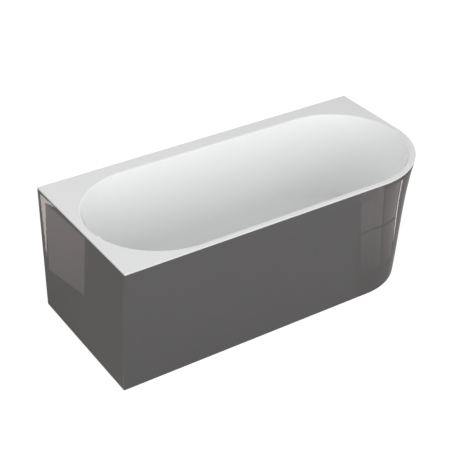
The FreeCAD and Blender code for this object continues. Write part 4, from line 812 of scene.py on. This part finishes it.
def apron_line(drawn, thick):
    """The apron's plan at a draw-in: along the left end, an eased square bend, the front, the round corner
    and back along the right end, set in by a thickness."""
    front, left, right = -HALF_WIDTH + drawn + thick, -HALF_LENGTH + thick, HALF_LENGTH - drawn - thick
    back = np.full_like(front, HALF_WIDTH)
    bend = np.linspace(np.pi, 1.5 * np.pi, 7)
    bend_x = left + BEND_EASE * (1 + np.cos(bend)) + 0 * front
    bend_y = front + BEND_EASE * (1 + np.sin(bend))
    side = np.array([0, 0.02, 0.25, 0.5, 0.75, 0.97, 0.995])
    side_y = back + (bend_y[:, :1] - back) * side
    along = np.concatenate([[0.002], np.linspace(0, 1, 41)[1:-1]])
    along_x = bend_x[:, -1:] + (RIGHT_X - bend_x[:, -1:]) * along
    corner = np.linspace(1.5 * np.pi, 2 * np.pi, 73)
    radius = right - RIGHT_X
    end = np.array([0.05, 0.3, 0.6, 0.97, 1.0])
    end_y = RIGHT_Y + (back - RIGHT_Y) * end
    x = np.concatenate([left + 0 * side_y, bend_x, along_x, RIGHT_X + radius * np.cos(corner),
                        right + 0 * end_y], 1)
    y = np.concatenate([side_y, bend_y, front + 0 * along_x, RIGHT_Y + radius * np.sin(corner), end_y], 1)
    return np.stack([x, y], -1)


levels = np.linspace(APRON_TOE, APRON_TOP, 60)[:, None]
outside = apron_line(draw_in(levels), 0.0)
inside = apron_line(draw_in(levels), APRON_WALL)
faces = rows_of(np.concatenate([outside, inside[:, ::-1]], 1), levels)
middle = (outside + inside) / 2
seam = rows_of(np.concatenate([middle, middle[:, ::-1]], 1), levels)
panel = np.concatenate([seam[:1], faces, seam[-1:]])
fit_piece(close_mesh("apron_panel", [panel]), graphite_acrylic(), "bath", "graphite_acrylic", "apron")


# Apron fixings: moulded clips bonded under the deck hold the apron's top from inside, and galvanised angle
# brackets on the cross members hold its toe.
def natural_nylon():
    """Natural nylon: milky, slightly yellow, with faint flow swirls."""
    start, place = new_finish("natural_nylon")
    swirl = start.noise(place, 60.0, 3.0, 0.5, 1.2)
    return start.surface({
        "Base Color": swirl.tint((0.52, 0.52, 0.49), (0.64, 0.64, 0.61)),
        "Roughness": 0.32 + 0.15 * swirl,
        "Normal": start.bump(start.noise(place, 900.0), 0.00006)})


dress(natural_nylon(), "apron_clips")
dress(zinc_dipped, "apron_toe_brackets")


# Studio: a pale floor that runs out to white, with soft light all round. Wide fill lights from the front,
# the left and the back make no highlight of their own, and a softbox overhead gives the chrome and the
# acrylic theirs.
FLOOR_REACH, FLOOR_GREY, FLOOR_GLOW, SHADOW_REACH, WHITE_REACH = 30.0, 0.35, 0.92, 1.2, 4.0
NEAR_GLOW, ROOM_LIGHT = (0.90, 0.90, 0.90), 0.36
floor_corners = [(x * FLOOR_REACH, y * FLOOR_REACH, 0) for x, y in ((-1, -1), (1, -1), (1, 1), (-1, 1))]
floor_mesh = bpy.data.meshes.new("studio_floor")
floor_mesh.from_pydata(floor_corners, [], [(0, 1, 2, 3)])
studio_floor = bpy.data.objects.new("studio_floor", floor_mesh)
bpy.context.scene.collection.objects.link(studio_floor)


def seen_rays(shade):
    """1 for rays that show the background, straight, mirrored or through glass, and 0 for others."""
    kinds = shade.node("ShaderNodeLightPath").socket.node.outputs
    wanted = ("Is Camera Ray", "Is Glossy Ray", "Is Transmission Ray")
    straight_ray, mirrored_ray, passing_ray = (Shade(shade.owner, kinds[ray]) for ray in wanted)
    return shade.maths("MAXIMUM", straight_ray, shade.maths("MAXIMUM", mirrored_ray, passing_ray))


start, place = new_finish("pale_floor")
lit = start.node("ShaderNodeBsdfDiffuse", {}, {"Color": (FLOOR_GREY, FLOOR_GREY, FLOOR_GREY, 1)})
distance = start.node("ShaderNodeVectorMath", {"operation": "LENGTH"}, {0: place}, "Value")
whitening = distance.between(SHADOW_REACH, WHITE_REACH).tint(NEAR_GLOW, (1, 1, 1))
glow = start.node("ShaderNodeEmission", {}, {"Color": whitening, "Strength": FLOOR_GLOW * seen_rays(start)})
above = start.node("ShaderNodeAddShader", {}, {0: lit, 1: glow})
below = start.node("ShaderNodeBsdfTransparent")
under = start.node("ShaderNodeNewGeometry", output="Backfacing")
start.node("ShaderNodeOutputMaterial", {}, {
    "Surface": start.node("ShaderNodeMixShader", {}, {0: under, 1: above, 2: below})})
floor_mesh.materials.append(start.owner)

world = bpy.data.worlds.new("studio")
world.use_nodes = True
world.node_tree.nodes.clear()
sky = Shade(world)
sky.node("ShaderNodeOutputWorld", {}, {"Surface": sky.node("ShaderNodeBackground", {}, {
    "Color": (1, 1, 1, 1), "Strength": ROOM_LIGHT + (1 - ROOM_LIGHT) * seen_rays(sky)})})
bpy.context.scene.world = world


def soft_light(name, place, towards, size, power):
    """A flat rectangular lamp of a size, aimed at a point."""
    lamp = bpy.data.lights.new(name, "AREA")
    lamp.shape = "RECTANGLE"
    lamp.size, lamp.size_y = size
    lamp.energy = power
    made = bpy.data.objects.new(name, lamp)
    bpy.context.scene.collection.objects.link(made)
    aim = Vector(towards) - Vector(place)
    made.location = place
    made.rotation_mode = "QUATERNION"
    made.rotation_quaternion = aim.to_track_quat("-Z", "Y")
    return made


for fill in (soft_light("front_fill", (0.0, -4.2, 2.0), (0, 0, 0.5), (7.0, 3.4), 208),
             soft_light("left_fill", (-4.2, 0.8, 1.9), (0.5, 0, 0.5), (3.0, 2.4), 20),
             soft_light("back_fill", (-0.9, 3.1, 2.5), (0.6, -0.1, 0.5), (2.4, 2.0), 21)):
    fill.visible_camera = fill.visible_glossy = False
soft_light("top_softbox", (-1.2, 0.2, 3.4), (0.3, 0, 0.4), (3.0, 2.0), 14)


# Camera: the place that the bath is seen from, with its heading, tilt and roll. A short telephoto lens holds
# the bath in the middle of a square frame.
EYE = (-2.4508, -3.5945, 3.1109)
SENSOR, FOCAL_PIXELS, FRAME_PIXELS = 36.0, 1186.648, 460
heading, tilt, roll = (math.radians(angle) for angle in (56.69667, 32.71505, -0.48913))
forward = np.array([math.cos(heading) * math.cos(tilt), math.sin(heading) * math.cos(tilt),
                    -math.sin(tilt)])
level = np.array([math.sin(heading), -math.cos(heading), 0.0])
drop = np.cross(forward, level)
across = math.cos(roll) * level + math.sin(roll) * drop
down = -math.sin(roll) * level + math.cos(roll) * drop
eye = bpy.data.cameras.new("eye")
eye.sensor_width = SENSOR
eye.lens = SENSOR * FOCAL_PIXELS / FRAME_PIXELS
camera = bpy.data.objects.new("eye", eye)
bpy.context.scene.collection.objects.link(camera)
pose = np.eye(4)
pose[:3, 0], pose[:3, 1], pose[:3, 2], pose[:3, 3] = across, -down, -forward, EYE
camera.matrix_world = Matrix(pose.tolist())
bpy.context.scene.camera = camera
bpy.context.scene.view_settings.view_transform = "Standard"


# Light panels: flat panels and grey cards on the floor beside the bath, which only gloss shows, each laid
# where its mirror image falls in place on the apron. A panel by the left end and a window of four panes by
# the round corner each have a bright strip, on cards that keep the white floor out of the apron's edges.
CARD_HEIGHT, PANEL_HEIGHT, STRIP_HEIGHT, RIM_HEIGHT = 0.001, 0.002, 0.003, 0.004
WARM_WHITE, CARD_GREY = (1.0, 0.90, 0.88), (1.0, 0.985, 0.94)
ROWS, CARD_COLUMNS = 13, 40


def light_panel(name, strength, height, points, facing, share=1.0, colour=WARM_WHITE):
    """A panel whose mirror image shows at points of the apron: the line of sight to each point is turned
    back by the way that the apron faces there and followed down to a height over the floor. It shows in
    gloss alone, and glows in a colour by a share of its strength at each point."""
    sight = points - np.array(EYE)
    sight = sight - 2 * np.minimum(np.sum(sight * facing, -1, keepdims=True), 0) * facing
    spots = points + sight * ((height - points[..., 2:]) / sight[..., 2:])
    mesh = close_mesh(name, [spots], ring=False)
    glow = mesh.attributes.new("glow", "FLOAT", "POINT")
    glow.data.foreach_set("value", np.broadcast_to(share, spots.shape[:2]).astype(np.float32).ravel())
    start = new_finish(name)[0]
    lit = start.node("ShaderNodeAttribute", {"attribute_name": "glow"}, output="Fac")
    start.node("ShaderNodeOutputMaterial", {}, {"Surface": start.node("ShaderNodeEmission", {}, {
        "Color": lit.tint((0.0, 0.0, 0.0), colour), "Strength": strength})})
    mesh.materials.append(start.owner)
    made = bpy.data.objects.new(name, mesh)
    bpy.context.scene.collection.objects.link(made)
    made.visible_camera = made.visible_diffuse = made.visible_shadow = False


def on_left_end(*corners):
    """Four points of the left end, by their places across the bath and their levels, and how it faces."""
    across_bath, level = np.array(corners).reshape(2, 2, 2).transpose(2, 0, 1)
    points = np.stack([np.full((2, 2), -HALF_LENGTH), across_bath, level], -1)
    return points, np.broadcast_to([-1.0, 0.0, 0.0], points.shape)


def on_round_corner(first, last, low, high, lean=0.137, count=ROWS):
    """Points of the front and its round corner, and how the apron faces there: a count of them from a first
    to a last place along it, set back by a lean as they rise from a low to a high level."""
    along, level = np.meshgrid(np.linspace(first, last, count), np.linspace(low, high, ROWS))
    along = along - lean * level
    turn = np.clip(along - RIGHT_X, 0, None) / CORNER_RADIUS
    radius = CORNER_RADIUS - draw_in(level)
    points = np.stack([np.minimum(along, RIGHT_X) + radius * np.sin(turn),
                       RIGHT_Y - radius * np.cos(turn), level], -1)
    facing = np.stack([np.sin(turn), -np.cos(turn), draw_in.deriv()(level)], -1)
    return points, facing / np.linalg.norm(facing, axis=-1, keepdims=True)


light_panel("end_card", 0.68, CARD_HEIGHT,
            *on_left_end((0.375, 0.0), (0.375, 0.6), (-0.310, 0.0), (-0.375, 0.6)),
            [[0.72, 1.08], [1.0, 1.08]], CARD_GREY)
light_panel("end_panel", 1.32, PANEL_HEIGHT,
            *on_left_end((0.325, 0.215), (0.305, 0.560), (-0.008, 0.283), (-0.053, 0.585)), [0.76, 1.04])
light_panel("end_strip", 4.0, STRIP_HEIGHT,
            *on_left_end((0.340, 0.263), (0.350, 0.580), (0.305, 0.560), (0.204, 0.590)))
light_panel("corner_card", 0.9, CARD_HEIGHT,
            *on_round_corner(0.34, 0.80, APRON_TOE, APRON_TOP, 0.0, CARD_COLUMNS),
            np.linspace(1.0, 0.0, CARD_COLUMNS).clip(0.45, 1.0), CARD_GREY)
light_panel("rim_card", 0.0, RIM_HEIGHT, *on_round_corner(0.54, 0.80, 0.580, APRON_TOP, 0.0, CARD_COLUMNS))
pane_fade = np.linspace(0.42, 0.92, ROWS)[:, None]
strip_fade = np.linspace(0.15, 3.0, ROWS).clip(0.0, 1.0)[:, None]
for side, first, last, strength in (("near", 0.402, 0.521, 2.4), ("far", 0.530, 0.622, 1.5)):
    low_pane = on_round_corner(first, last, 0.140, 0.358)
    light_panel(f"window_{side}_low", strength, PANEL_HEIGHT, *low_pane, pane_fade)
    light_panel(f"window_{side}_high", strength, PANEL_HEIGHT, *on_round_corner(first, last, 0.370, 0.572))
light_panel("window_strip", 4.6, STRIP_HEIGHT, *on_round_corner(0.630, 0.641, 0.220, 0.572), strip_fade)
